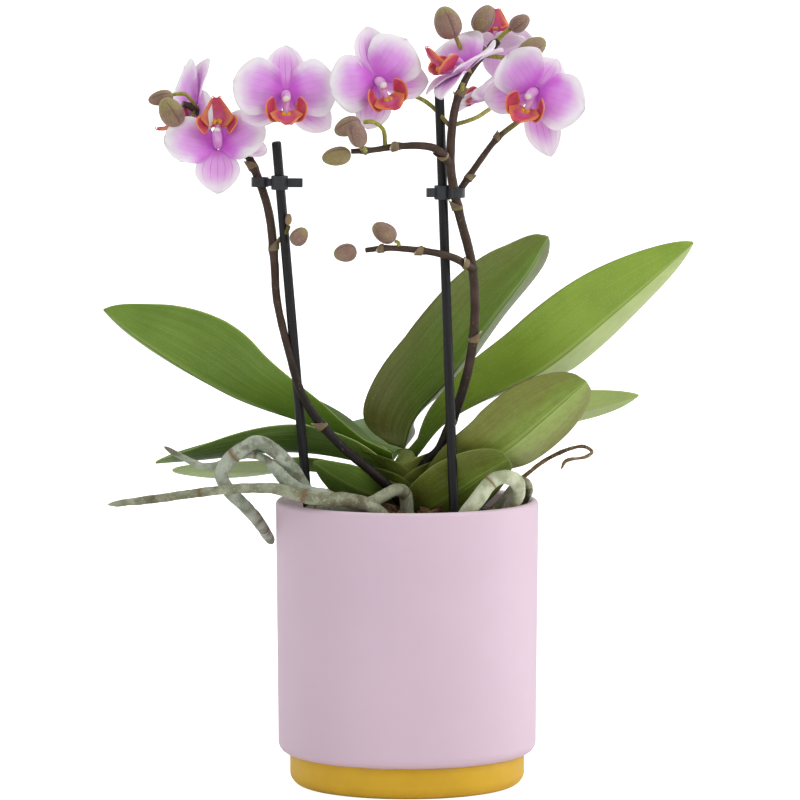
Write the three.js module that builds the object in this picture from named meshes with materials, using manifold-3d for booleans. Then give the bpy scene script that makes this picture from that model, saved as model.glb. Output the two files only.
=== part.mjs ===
// A moth orchid in bark, in its nursery pot, inside a two-tone ceramic cover pot.
// Millimetres, +Z up. The origin is the centre of the cover pot's underside, and -Y is the front.
import * as THREE from "three";
import { mergeVertices } from "three/addons/utils/BufferGeometryUtils.js";
import Module from "manifold-3d";

const wasm = await Module();
wasm.setup();

// ---- driving dimensions ----
const GAP = 0.35; // clearance kept between neighbouring pieces

const POT_HEIGHT = 120;
const POT_RIM_RADIUS = 55;
const POT_BELLY_RADIUS = 54.1; // just above the rounded shoulder
const POT_WALL = 4;
const POT_FLOOR = 6;
const FOOT_RADIUS = 49.2;
const FOOT_EDGE_RADIUS = 5.5; // rounding under the coloured foot
const NECK_TOP = 13.5; // where the foot meets the body
const SHOULDER_RADIUS = 4.9;

const NURSERY_TOP = 113;
const NURSERY_BOTTOM = POT_FLOOR + GAP + 0.2;
const NURSERY_TOP_RADIUS = 46;
const NURSERY_BOTTOM_RADIUS = 37;
const NURSERY_WALL = 1;
const NURSERY_LIP = 2.6;

const BARK_EDGE_TOP = 104;
const BARK_DOME = 7; // how far the middle of the bark stands above its edge
const BARK_HEAP = 7; // how much higher it is heaped against the front roots

const STICK_RADIUS = 2;
const STICK_FOOT = 70; // how far down in the bark the sticks reach
const CLIP_HEIGHT = 4;
const CLIP_THICKNESS = 2; // of its bar
const CLIP_STICK_RADIUS = 3.6; // outside of the ring round the stick
const CLIP_STALK_RADIUS = 3.7; // outside of the ring round the stalk
const SPIKE_RADIUS = 2.1;
const BRANCH_RADIUS = 1.5;
const PEDICEL_RADIUS = 0.95;

const PETAL_HALF_WIDTH = 12.5;
const FLOWER_THICKNESS = 0.7;
const LEAF_THICKNESS = 1.6;

// ---- materials ----
const finish = (color, roughness, metalness = 0) =>
  new THREE.MeshStandardMaterial({ color, roughness, metalness });
const ceramic = finish(0xd2b8c8, 0.6);
const nurseryPlastic = finish(0x3a3a3c, 0.45);
const bark = finish(0x6b4a33, 0.95);
const stickPlastic = finish(0x242225, 0.5);
const clipPlastic = finish(0x3c4448, 0.5);
const leafGreen = finish(0x6f9a34, 0.45);
const crownGreen = finish(0x66852c, 0.5);
const stalkBrown = finish(0x66504d, 0.6);
const petalLilac = finish(0xdcb0e0, 0.6);
const lipOrange = finish(0xd2543c, 0.55);
const budBrown = finish(0x94806c, 0.6);
const rootGrey = finish(0x9aa69a, 0.8);

// ---- solids ----
const vector = (p) => new THREE.Vector3(...p);
const degrees = THREE.MathUtils.degToRad;

// A closed three.js geometry as a manifold-3d solid.
function solidOf(geometry) {
  geometry.deleteAttribute("normal");
  geometry.deleteAttribute("uv");
  const merged = mergeVertices(geometry, 1e-4);
  return new wasm.Manifold(
    new wasm.Mesh({
      numProp: 3,
      vertProperties: merged.attributes.position.array,
      triVerts: new Uint32Array(merged.index.array),
    }),
  );
}

// A manifold-3d solid as a three.js geometry.
function geometryOf(solid) {
  const mesh = solid.getMesh();
  const geometry = new THREE.BufferGeometry();
  geometry.setAttribute("position", new THREE.BufferAttribute(mesh.vertProperties, 3));
  geometry.setIndex(new THREE.BufferAttribute(mesh.triVerts, 1));
  geometry.computeVertexNormals();
  return geometry;
}

const joined = (solids) => solids.reduce((whole, solid) => whole.add(solid));

// Moves every vertex of a geometry to where place(x, y, z) says.
function reshaped(geometry, place) {
  const position = geometry.attributes.position;
  for (let i = 0; i < position.count; i++) {
    const moved = place(position.getX(i), position.getY(i), position.getZ(i));
    position.setXYZ(i, moved.x, moved.y, moved.z);
  }
  return geometry;
}

// A value at t from an evenly spaced list of values.
function along(values, t) {
  if (!Array.isArray(values)) return values;
  const place = THREE.MathUtils.clamp(t, 0, 1) * (values.length - 1);
  const low = Math.min(Math.floor(place), values.length - 2);
  return THREE.MathUtils.lerp(values[low], values[low + 1], place - low);
}

// A tapering stem: a capped cylinder bent along a smooth curve through the points.
function stemSolid({ points, radius, sides = 8, steps = 12 }, grow) {
  const curve = new THREE.CatmullRomCurve3(points.map(vector), false, "centripetal");
  const frames = curve.computeFrenetFrames(steps, false);
  const place = (x, y, z) => {
    const step = Math.round((y + 0.5) * steps);
    const r = along(radius, step / steps) + grow;
    const overrun = step === 0 ? -grow : step === steps ? grow : 0;
    return curve
      .getPointAt(step / steps)
      .addScaledVector(frames.tangents[step], overrun)
      .addScaledVector(frames.binormals[step], x * r)
      .addScaledVector(frames.normals[step], z * r);
  };
  return solidOf(reshaped(new THREE.CylinderGeometry(1, 1, 1, sides, steps), place));
}

// A leaf, petal or sepal: a thin lens folded along its midrib. The midrib runs through the points,
// the blade opens towards up, roll turns it about the midrib and fold lifts both halves.
function bladeSolid(blade, grow) {
  const { points, up = [0, 0, 1], halfWidth, widest = 0.55, neck = 0.2, thickness } = blade;
  const { roll = 0, fold = 0, fullness = 0.7, sections = [4, 7] } = blade;
  const curve = new THREE.CatmullRomCurve3(points.map(vector), false, "centripetal");
  const swell = Math.log(0.5) / Math.log(widest);
  const place = (x, y, z) => {
    const t = y + 0.5;
    const s = 2 * x;
    const overrun = t < 0.001 ? -grow : t > 0.999 ? grow : 0;
    const outline = Math.sin(Math.PI * t ** swell) ** fullness;
    const width = halfWidth * Math.max(outline, neck * (1 - t) ** 2, 0.04) + grow;
    const tangent = curve.getTangentAt(t);
    const side = new THREE.Vector3().crossVectors(tangent, vector(up)).normalize();
    side.applyAxisAngle(tangent, degrees(along(roll, t)));
    const open = new THREE.Vector3().crossVectors(side, tangent);
    const tilt = degrees(along(fold, t));
    const lean = Math.sin(tilt) * Math.sign(s) * Math.min(1, 2 * Math.abs(s));
    const normal = open.clone().multiplyScalar(Math.cos(tilt)).addScaledVector(side, -lean).normalize();
    return curve
      .getPointAt(t)
      .addScaledVector(tangent, overrun)
      .addScaledVector(side, s * width * Math.cos(tilt))
      .addScaledVector(open, Math.abs(s) ** 1.3 * width * Math.sin(tilt))
      .addScaledVector(normal, 2 * z * ((thickness / 2) * (1 - 0.5 * s * s) + grow));
  };
  return solidOf(reshaped(new THREE.BoxGeometry(1, 1, 1, ...sections, 1), place));
}

// A closed solid of revolution from [radius, height] points that run anticlockwise.
function turnedSolid(outline, segments) {
  const profile = outline.map(([radius, height]) => new THREE.Vector2(radius, height));
  const geometry = new THREE.LatheGeometry(profile, segments);
  return solidOf(geometry.rotateX(Math.PI / 2));
}

// Points of a round corner from one angle to another.
function arc(x, y, radius, fromAngle, toAngle, steps) {
  return Array.from({ length: steps + 1 }, (_, i) => {
    const angle = degrees(THREE.MathUtils.lerp(fromAngle, toAngle, i / steps));
    return [x + radius * Math.cos(angle), y + radius * Math.sin(angle)];
  });
}

// ---- cover pot: one ceramic casting, with a set-back foot, a soft shoulder and a plain lip ----
function coverPot(grow) {
  const lip = POT_WALL / 2;
  const rim = POT_RIM_RADIUS - lip;
  const inner = POT_RIM_RADIUS - POT_WALL - grow;
  const shoulder = POT_BELLY_RADIUS - SHOULDER_RADIUS;
  return turnedSolid(
    [
      [0, 0],
      ...arc(FOOT_RADIUS - FOOT_EDGE_RADIUS, FOOT_EDGE_RADIUS, FOOT_EDGE_RADIUS + grow, -90, 0, 3),
      [FOOT_RADIUS + grow, NECK_TOP],
      ...arc(shoulder, NECK_TOP + SHOULDER_RADIUS, SHOULDER_RADIUS + grow, -70, 0, 3),
      ...arc(rim, POT_HEIGHT - lip, lip + grow, 0, 180, 4),
      [inner - 1, NECK_TOP + 10],
      [inner - 6, POT_FLOOR + 3],
      [inner - 10, POT_FLOOR + grow],
      [0, POT_FLOOR + grow],
    ],
    24,
  );
}

// ---- nursery pot: a thin tapering plastic pot with a turned-out rim ----
function nurseryPot(grow) {
  const top = NURSERY_TOP_RADIUS + grow;
  const bottom = NURSERY_BOTTOM_RADIUS + grow;
  const wall = NURSERY_WALL + 2 * grow;
  return turnedSolid(
    [
      [0, NURSERY_BOTTOM - grow],
      [bottom, NURSERY_BOTTOM - grow],
      [top, NURSERY_TOP - 4],
      [top + NURSERY_LIP, NURSERY_TOP - 3],
      [top + NURSERY_LIP, NURSERY_TOP + grow],
      [top - wall, NURSERY_TOP + grow],
      [bottom - wall, NURSERY_BOTTOM - grow + wall],
      [0, NURSERY_BOTTOM - grow + wall],
    ],
    20,
  );
}

// ---- bark: the mix that fills the nursery pot, with an uneven, slightly domed top ----
function barkFill(grow) {
  const clearance = NURSERY_WALL + GAP + 0.2;
  const bottom = NURSERY_BOTTOM + clearance;
  const place = (x, y, z) => {
    const r = Math.min(1, Math.hypot(x, z));
    const height = y + 0.5;
    const outer = THREE.MathUtils.lerp(NURSERY_BOTTOM_RADIUS, NURSERY_TOP_RADIUS, height) - clearance;
    const coarse = 1.2 * Math.sin(9 * x + 2) * Math.cos(8 * z);
    const lumps = coarse + 0.8 * Math.sin(15 * z + 4 * x);
    const heap = BARK_HEAP * Math.exp(-5 * ((x + 0.55) ** 2 + 0.5 * z * z));
    const top = BARK_EDGE_TOP + BARK_DOME * (1 - r * r) ** 0.7 + lumps + heap;
    return new THREE.Vector3(outer * z, outer * x, THREE.MathUtils.lerp(bottom, top, height) + grow);
  };
  const column = new THREE.LatheGeometry(
    [
      new THREE.Vector2(0, -0.5),
      new THREE.Vector2(1, -0.5),
      ...[1, 0.7, 0.35, 0].map((radius) => new THREE.Vector2(radius, 0.5)),
    ],
    20,
  );
  return solidOf(reshaped(column, place));
}

// ---- support sticks and the clips that hold the flower spikes to them ----
const STICKS = {
  support_stick_left: { bottom: [-37.5, -6, STICK_FOOT], top: [-54, -25, 271] },
  support_stick_right: { bottom: [21, -32, STICK_FOOT], top: [13, -22, 296] },
};

const stick = ({ bottom, top }) => (grow) =>
  stemSolid({ points: [bottom, top], radius: STICK_RADIUS, sides: 8, steps: 1 }, grow);

// A clip is a bar with a ring round the stick and a ring round the stalk.
const CLIPS = {
  stem_clip_left: { stick: [-52.7, -23.6], stalk: [-60.9, -19.2], tail: [-43.2, -24.6], height: 254 },
  stem_clip_right: { stick: [14.6, -24.1], stalk: [20.2, -26.8], tail: [8, -26], height: 250 },
};

function clip({ stick: stickAt, stalk, tail, height }) {
  const ring = ([x, y], radius, tall) => {
    const cylinder = new THREE.CylinderGeometry(radius, radius, tall, 8);
    return solidOf(cylinder.rotateX(Math.PI / 2).translate(x, y, height));
  };
  const bar = (from, to) => {
    const length = Math.hypot(to[0] - from[0], to[1] - from[1]);
    const box = new THREE.BoxGeometry(length, CLIP_THICKNESS, CLIP_HEIGHT);
    box.rotateZ(Math.atan2(to[1] - from[1], to[0] - from[0]));
    return solidOf(box.translate((from[0] + to[0]) / 2, (from[1] + to[1]) / 2, height));
  };
  return (grow) =>
    joined([
      ring(stickAt, CLIP_STICK_RADIUS + grow, CLIP_HEIGHT + 2 + 2 * grow),
      ring(stalk, CLIP_STALK_RADIUS + grow, CLIP_HEIGHT + 2 * grow),
      bar(stalk, stickAt),
      bar(stickAt, tail),
    ]);
}

// ---- flower spikes: one grown stalk each, with its branches and the stalks of flowers and buds ----
const SPIKES = {
  flower_spike_left: [
    {
      points: [
        [-3, -9, 120], [-8, -17, 127], [-15, -20, 134], [-26, -19, 143], [-33, -18, 150], [-40, -18, 159],
        [-45, -18, 169], [-49, -18, 183], [-54, -18, 205], [-55, -19, 221], [-57, -19, 240], [-60, -19, 251],
        [-65, -16, 263], [-69, -12, 269], [-78, -8, 277], [-84, -10, 280], [-90, -12, 285], [-93, -13, 286],
      ],
      radius: [2.3, 2.1, 1.9, 1.7, 1.7, 1.9, 1.8, 1.7, 1.4], sides: 6, steps: 18,
    },
    { points: [[-56, -18, 225], [-53, -20, 230], [-50, -23, 233.5], [-49, -25, 236]], radius: 0.9, steps: 5 },
    { points: [[-66, -14, 264], [-72, -17, 265], [-77, -20, 266]], radius: PEDICEL_RADIUS, steps: 3 },
    { points: [[-66, -14, 264], [-62, -10, 273], [-56, -12, 283], [-50, -22, 289]], radius: PEDICEL_RADIUS },
    { points: [[-84, -10, 280], [-86, -7, 283], [-87, -4, 284]], radius: PEDICEL_RADIUS, steps: 3 },
    { points: [[-86, -11, 282], [-89, -12, 287], [-92, -13, 290], [-97, -14, 290]], radius: 0.8, steps: 4 },
    { points: [[-88, -12, 283], [-91, -17, 279], [-95, -19, 278]], radius: 0.8, steps: 3 },
  ],
  flower_spike_right: [
    {
      points: [
        [3, -6, 130], [9, -11, 138], [13, -14, 142], [17, -17, 151], [21, -19, 161], [26, -22, 180],
        [28, -24, 201], [27, -24, 218], [25, -25, 228], [22, -26, 239], [18, -29, 259], [18, -29, 272],
        [20, -24, 286], [25, -18, 298], [33, -14, 308], [36, -12, 311],
      ],
      radius: [SPIKE_RADIUS, SPIKE_RADIUS, 2, 2, 2, 2, 1.7, 1.2], sides: 6, steps: 18,
    },
    {
      points: [[28, -24, 218], [18, -33, 224], [5, -38, 227], [-9, -39, 228], [-17, -37, 227]],
      radius: [1.7, BRANCH_RADIUS, 1.1], sides: 6, steps: 6,
    },
    {
      points: [[18, -29, 262], [11, -36, 269], [-3, -40, 270], [-14, -42, 268.5], [-23, -43, 268]],
      radius: [1.9, BRANCH_RADIUS, 1.1], sides: 6, steps: 6,
    },
    {
      points: [[21, -26, 250], [30, -22, 263], [37, -20, 272], [47, -15, 280], [50, -20, 286]],
      radius: [1.5, 1.3, 1.1], sides: 6, steps: 5,
    },
    { points: [[19, -28, 278], [27, -20, 280], [34, 0, 283]], radius: PEDICEL_RADIUS, steps: 4 },
    { points: [[19, -28, 276], [8, -20, 287], [-3, -20, 292], [-8, -27, 295]], radius: PEDICEL_RADIUS },
    { points: [[22, -22, 290], [23, -24, 295]], radius: PEDICEL_RADIUS, steps: 2 },
    { points: [[33, -13, 308], [36, 0, 308]], radius: PEDICEL_RADIUS, steps: 2 },
    { points: [[26, -18, 299], [23, -20, 307], [20, -22, 314]], radius: PEDICEL_RADIUS, steps: 4 },
    { points: [[33, -14, 308], [28, -15, 312], [28, -16, 315.5]], radius: PEDICEL_RADIUS, steps: 3 },
    { points: [[34, -13, 309], [37.5, -14.5, 312]], radius: [1.7, 2.1, 1.5], sides: 6, steps: 2 },
    { points: [[36, -12, 311], [40, -13, 315], [42.5, -14, 317]], radius: PEDICEL_RADIUS, steps: 3 },
    { points: [[32, -14, 306], [38, -16, 305.5], [46, -17, 304.5]], radius: PEDICEL_RADIUS, steps: 3 },
    { points: [[-9, -41, 270], [-10, -42, 277], [-14, -43, 280], [-18, -43, 280]], radius: 0.9, steps: 4 },
    { points: [[-17, -42, 268], [-17.5, -47, 269], [-18.5, -49, 270]], radius: 0.9, steps: 3 },
    { points: [[-4, -39, 228], [-3.5, -39.5, 230], [-5, -39, 231]], radius: 0.8, steps: 3 },
  ],
};

const spike = (stems) => (grow) =>
  joined(stems.map((stem) => stemSolid({ sides: 4, steps: 4, ...stem }, grow)));

// ---- crown: the short stem that the leaf bases wrap ----
const CROWN = {
  points: [[-1, 0, 108], [-1, 0, 125], [0, 0, 141]],
  radius: [5, 5.5, 7.6, 2.5], sides: 10, steps: 6,
};

const crown = (grow) => stemSolid(CROWN, grow);

// ---- leaves: thick folded straps; each midrib starts at the crown ----
const LEAVES = {
  leaf_upper_left: {
    points: [[-6, 4, 136], [-37, 16, 149], [-74, 20, 162], [-112, 12, 186], [-127, 8, 199]],
    halfWidth: 27, widest: 0.62, neck: 0.25, roll: [0, 14, 34, 40], fold: [38, 40, 42, 40],
  },
  leaf_middle_left: {
    points: [[-6, 2, 131], [-24, 4, 137], [-49, 5, 140], [-87, 0, 137], [-105, -5, 136]],
    halfWidth: 22, widest: 0.5, neck: 0.3, roll: [4, 7, 10], fold: [40, 26, 18],
  },
  leaf_lower_left: {
    points: [[-7, -1, 127], [-24, 0, 130], [-45, -1, 133], [-66, -3, 132], [-98, -7, 133]],
    halfWidth: 15, widest: 0.6, neck: 0.3, roll: [4, 18, 20], fold: [30, 6, 0], fullness: 0.45,
  },
  leaf_inner_left: {
    points: [[-6, -8, 121], [-17, -14, 124.5], [-28, -16, 130], [-39, -17, 137.5]],
    halfWidth: 10.5, widest: 0.5, neck: 0.4, roll: 48, fold: 8,
  },
  leaf_back_left: {
    points: [[-5, 7, 138], [-14, 22, 142], [-24, 38, 145], [-35, 56, 143], [-44, 72, 139]],
    halfWidth: 15, widest: 0.55, neck: 0.35, fold: [30, 18, 10],
  },
  leaf_top_back: {
    points: [[-2, 5, 141], [2, 5, 153], [17, 9, 170], [36, 14, 195], [52, 18, 216], [59, 19, 229]],
    halfWidth: 32, widest: 0.42, neck: 0.2, roll: -44, fold: [40, 24, 22, 18], fullness: 0.5,
  },
  leaf_upper_right: {
    points: [[3, 1, 138], [14, 3, 151], [30, 4, 161], [56, 2, 174], [89, -1, 201], [119, -4, 228]],
    halfWidth: 25, widest: 0.55, neck: 0.2, roll: [-28, -41, -41], fold: [35, 24, 19],
  },
  leaf_lower_right: {
    points: [[5, -5, 121], [26, -19, 134], [42, -22, 144], [55, -24, 155], [74, -26, 172]],
    halfWidth: 21, widest: 0.62, neck: 0.3, roll: [-20, -48, -52], fold: [30, 18, 12], fullness: 0.45,
  },
  leaf_far_right: {
    points: [[6, 4, 131], [31, 12, 144], [56, 14, 152], [81, 12, 158], [97, 8, 163]],
    halfWidth: 15, widest: 0.55, neck: 0.3, roll: [-10, -35, -35], fold: [30, 16, 10],
  },
  leaf_front: {
    points: [[3, -8, 113], [11, -18, 119], [21, -24, 126], [31, -27, 133], [42, -29, 140]],
    halfWidth: 15, widest: 0.5, neck: 0.55, roll: [-35, -55, -58], fold: 12, fullness: 0.42,
  },
};

// ---- flowers: each organ is [angle, pitch, length, twist]. The angle is anticlockwise from the flower's
// own right, as seen from its front, the pitch tips the organ out of its face and the twist turns it
// about its own midrib ----
const FLOWER_DEFAULTS = {
  size: 1, dorsal: [90, -4, 20], petals: [[12, 6, 22], [168, 6, 22]],
  laterals: [[-48, -6, 21], [-132, -6, 21]], lip: -90, lipDrop: 30, sepalWidth: 7.8,
};
const FLOWERS = {
  flower_left_rear: {
    centre: [-87, -3, 285], facing: [-0.9, -0.4, 0.15], up: [0, 0, 1],
    petals: [[-25, 6, 22], [138, 6, 22]], lipDrop: 25,
  },
  flower_left_front: {
    centre: [-78, -24, 268], facing: [-0.05, -0.7, 0.7], up: [0, -0.7, -0.7],
    petals: [[-6, 14, 23, -4], [192, 22, 22, 4]], laterals: [[-32, -34, 22], [-150, -26, 24]],
    dorsal: [90, -8, 21.5], sepalWidth: 9.4, lipDrop: 45,
  },
  flower_centre_left: {
    centre: [-50, -27, 291], facing: [0.04, -1, 0.1], up: [0, 0, 1], dorsal: [91, -4, 20],
    petals: [[10, 6, 21.5], [167, 6, 22.5]], laterals: [[-38, -6, 23.5], [-150, -6, 21]],
  },
  flower_centre: {
    centre: [-12.5, -29, 296.5], facing: [0.2, -0.97, 0.08], up: [0, 0, 1], dorsal: [99, -4, 22.5],
    petals: [[52, 6, 21], [187, 6, 20.5]], laterals: [[-2, -6, 22.5], [-100, -6, 20.5]], lip: -68,
  },
  flower_right: {
    centre: [53, -24, 292], facing: [-0.3, -0.95, 0.05], up: [0, 0, 1], dorsal: [62, -20, 16],
    petals: [[-20, 6, 23], [127, 6, 19]], laterals: [[-78, -6, 28], [190, -6, 23.5]], lip: -106,
  },
  flower_upper_side: {
    centre: [24, -27, 300], facing: [-0.47, -0.1, 0.88], up: [0.8, 0.35, 0.47], dorsal: [90, 0, 19],
    petals: [[14, 16, 20], [150, 42, 20]], laterals: [[-62, -6, 21], [-100, 2, 19]], lipDrop: 15,
  },
  flower_upper_rear: {
    centre: [37, 5, 307], facing: [0.1, 0.65, 0.75], up: [0.1, 0.75, -0.65], size: 0.85,
    petals: [[-6, 6, 22], [172, 6, 22]], lipDrop: 40,
  },
  flower_right_rear: {
    centre: [34, 6, 287], facing: [-0.6, 0.3, 0.7], up: [0.75, 0.2, 0.6], size: 0.72,
    petals: [[13, 10, 22], [167, 34, 22]], laterals: [[-65, 24, 20], [-115, 24, 20]],
  },
};

// The flower's own frame: X to its right, Y towards its dorsal sepal, Z out of its face.
function flowerFrame({ centre, facing, up, size }) {
  const out = vector(facing).normalize();
  const right = new THREE.Vector3().crossVectors(vector(up), out).normalize();
  const dorsal = new THREE.Vector3().crossVectors(out, right);
  return new THREE.Matrix4()
    .makeBasis(right, dorsal, out)
    .scale(new THREE.Vector3(size, size, size))
    .setPosition(vector(centre));
}

// Points of an organ that leaves the flower's centre and curves back at its tip.
function organPoints(frame, [angle, pitch, length]) {
  const turn = degrees(angle);
  const tilt = degrees(pitch);
  const start = 0.6;
  return [0, 0.5, 1].map((t) => {
    const reach = start + (length - start) * t;
    const out = reach * Math.sin(tilt) + 1.6 * Math.sin(Math.PI * t) - 0.8 * t;
    const flat = reach * Math.cos(tilt);
    const point = new THREE.Vector3(flat * Math.cos(turn), flat * Math.sin(turn), out);
    return point.applyMatrix4(frame).toArray();
  });
}

function perianth(spec) {
  const flower = { ...FLOWER_DEFAULTS, ...spec };
  const frame = flowerFrame(flower);
  const organ = (halfWidth, sections) => (aim) => ({
    points: organPoints(frame, aim), up: flower.facing, roll: aim[3], fold: 6, sections,
    halfWidth: halfWidth * flower.size, widest: 0.55, neck: 0.2, fullness: 0.6,
    thickness: FLOWER_THICKNESS,
  });
  const sepal = organ(flower.sepalWidth, [2, 3]);
  const petal = organ(PETAL_HALF_WIDTH, [2, 4]);
  const organs = [sepal(flower.dorsal), ...flower.petals.map(petal), ...flower.laterals.map(sepal)];
  return (grow) => {
    const hub = new THREE.SphereGeometry(1.8 * flower.size + grow, 5, 3).translate(...flower.centre);
    return joined([solidOf(hub), ...organs.map((blade) => bladeSolid(blade, grow))]);
  };
}

// The lip hangs below the short column: a claw, two upright side lobes and a trowel-shaped middle lobe.
function lipAndColumn(spec) {
  const flower = { ...FLOWER_DEFAULTS, ...spec };
  const { size, lip, lipDrop } = flower;
  const frame = flowerFrame(flower);
  const turned = frame.clone().multiply(new THREE.Matrix4().makeRotationZ(degrees(lip + 90)));
  const at = (x, y, z) => new THREE.Vector3(x, y, z).applyMatrix4(turned).toArray();
  const aimed = (x, y, z) => vector(at(x, y, z)).sub(vector(at(0, 0, 0))).normalize().toArray();
  const drop = degrees(lipDrop);
  const lobe = (length) => at(0, -8 - length * Math.sin(drop), 4.5 + length * Math.cos(drop));
  const middle = {
    points: [lobe(0), lobe(6.5), lobe(13)], up: aimed(0, 1, 1), sections: [2, 3],
    halfWidth: 7.5 * size, widest: 0.42, neck: 0.3, thickness: 0.9, fullness: 0.9, fold: 12,
  };
  const sides = [-1, 1].map((side) => ({
    points: [at(side * 2.4, -10.6, 4.6), at(side * 7, -7, 6.4), at(side * 5.6, -1.6, 7.8)],
    up: aimed(-side, 0, 0.8), sections: [1, 3],
    halfWidth: 4 * size, widest: 0.5, neck: 0.5, thickness: 0.9, fullness: 0.6,
  }));
  const column = { points: [at(0, -0.4, 2.4), at(0, -1, 5), at(0, -2.4, 8)], sides: 5, steps: 1 };
  const claw = { points: [at(0, -1.2, 3.4), at(0, -9.5, 5)], sides: 5, steps: 1, radius: 1.4 * size };
  return (grow) =>
    joined([
      stemSolid({ ...column, radius: 2 * size }, grow),
      stemSolid(claw, grow),
      bladeSolid(middle, grow),
      ...sides.map((lobe) => bladeSolid(lobe, grow)),
    ]);
}

// ---- buds: egg shapes on their stalks; axis points from the stalk to the tip ----
const BUDS = {
  bud_far_left: { centre: [-102, -14.5, 288.5], axis: [-1, -0.1, -0.22], length: 10.5, radius: 3.2 },
  bud_left: { centre: [-97.5, -20.5, 283], axis: [-0.5, -0.25, 0.85], length: 13.2, radius: 5 },
  bud_twig_tip: { centre: [-49, -25.5, 239], axis: [0.1, 0, 1], length: 4.8, radius: 1.4 },
  bud_twig: { centre: [-44.5, -27, 232], axis: [0.6, -0.3, 0.75], length: 8.6, radius: 3.5 },
  bud_lower_branch_tip: { centre: [-25.5, -38, 226], axis: [-1, -0.1, -0.15], length: 9.6, radius: 3.8 },
  bud_lower_branch: { centre: [-9.5, -39, 234.5], axis: [-0.8, -0.1, 0.55], length: 11, radius: 4.1 },
  bud_upper_branch_rear: { centre: [-24.5, -41.5, 278], axis: [-0.9, 0.1, -0.4], length: 11.5, radius: 4 },
  bud_upper_branch_front: { centre: [-20.5, -50.5, 275.5], axis: [-0.3, -0.3, 0.9], length: 11.5, radius: 3.9 },
  bud_upper_branch_tip: { centre: [-29, -44, 266], axis: [-1, -0.1, -0.15], length: 12, radius: 3.9 },
  bud_crest_left: { centre: [16.5, -24, 320.5], axis: [-0.35, -0.2, 0.95], length: 14.4, radius: 5.6 },
  bud_crest_middle: { centre: [31.5, -16.5, 321.5], axis: [0.5, 0, 0.86], length: 13, radius: 4.4 },
  bud_crest_right: { centre: [46.5, -14.5, 319.5], axis: [0.82, 0, 0.57], length: 9.2, radius: 3.5 },
  bud_crest_low: { centre: [51.5, -18, 309], axis: [0.82, -0.1, 0.57], length: 13.2, radius: 4.4 },
};

const bud = ({ centre, axis, length, radius }) => (grow) => {
  const upright = new THREE.Vector3(0, 1, 0);
  const turn = new THREE.Quaternion().setFromUnitVectors(upright, vector(axis).normalize());
  const place = (x, y, z) => {
    const plump = (radius + grow) * (1 - 0.16 * y);
    const point = new THREE.Vector3(x * plump, y * (length / 2 + grow), z * plump);
    return point.applyQuaternion(turn).add(vector(centre));
  };
  return solidOf(reshaped(new THREE.SphereGeometry(1, 7, 5), place));
};

// ---- aerial roots: they leave the crown or the bark and wander over the rim ----
const ROOTS = {
  aerial_root_long: {
    points: [
      [-2, -35, 106], [-9, -38.5, 116], [-16, -40.5, 122], [-24, -41, 124], [-33, -40, 124.5],
      [-40, -38.5, 125], [-47, -36.5, 126.5], [-54, -34, 128], [-68, -32, 128], [-86, -30, 126],
      [-107, -30, 123], [-124, -30, 121],
    ],
    radius: [2.4, 3, 3.2, 2.8, 2.3, 2, 1.9, 1.8, 1.2], steps: 12,
  },
  aerial_root_arch: {
    points: [
      [-30, -12, 106], [-36, -16, 117], [-42, -20, 126], [-48, -25, 136], [-56, -28, 144], [-62, -29, 147],
      [-68, -29, 144], [-74, -28, 139], [-77, -26, 133], [-74, -21, 126], [-68, -14, 119], [-63, -4, 112],
      [-60, 8, 106], [-57, 20, 99],
    ],
    radius: [2.6, 2.8, 3, 3, 2.9, 2.7, 2.2], steps: 18,
  },
  aerial_root_thin: {
    points: [
      [-16, -20, 110], [-25, -24, 119], [-33, -27, 124], [-40, -30, 126], [-46, -31, 128], [-50, -31, 131],
      [-54, -29, 135], [-58, -27, 139], [-63, -26, 141], [-70, -25, 140.5], [-83, -22, 136], [-92, -20, 139],
      [-101, -19, 144],
    ],
    radius: [2.2, 2.8, 3, 2.8, 1.6, 1.5, 1.5, 1.2], steps: 14,
  },
  aerial_root_front: {
    points: [
      [1, -17, 108], [0, -20, 117], [-1, -24, 125], [-5, -30, 127], [-11, -34, 124.5], [-18, -34.5, 121],
      [-26, -33, 119.5], [-33, -30, 119], [-39, -24, 118], [-42, -15, 114], [-41, -6, 106],
    ],
    radius: [3, 2.8, 2.7, 2.8, 2.2], steps: 8,
  },
  aerial_root_hoop: {
    points: [
      [19, -37, 106], [23.5, -40.5, 117], [30, -42.5, 126], [35, -41.5, 132], [40, -39, 133.5],
      [45, -34, 131], [46, -27, 125], [42.5, -21, 117], [37, -16, 106],
    ],
    radius: [2.6, 3.3, 3.2, 3.1, 2.5, 2.2], steps: 12,
  },
  aerial_root_right: {
    points: [
      [30, -12, 106], [38, -17, 119], [44, -19, 127], [49, -15, 129], [51, -6, 124], [48, 4, 117],
      [41, 9, 105],
    ],
    radius: 1.7, steps: 10,
  },
  aerial_root_dried: {
    points: [
      [26, 4, 106], [38, 2, 118], [47, -2, 128], [58, -5, 137], [68, -8, 142], [74, -10, 143],
      [77, -12, 141], [74, -13, 139], [66, -14, 137.5], [64, -14, 134],
    ],
    radius: [1.2, 0.9, 0.9, 0.8, 0.7], sides: 5, steps: 14,
  },
};

const root = (route) => (grow) => stemSolid({ sides: 5, ...route }, grow);

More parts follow.
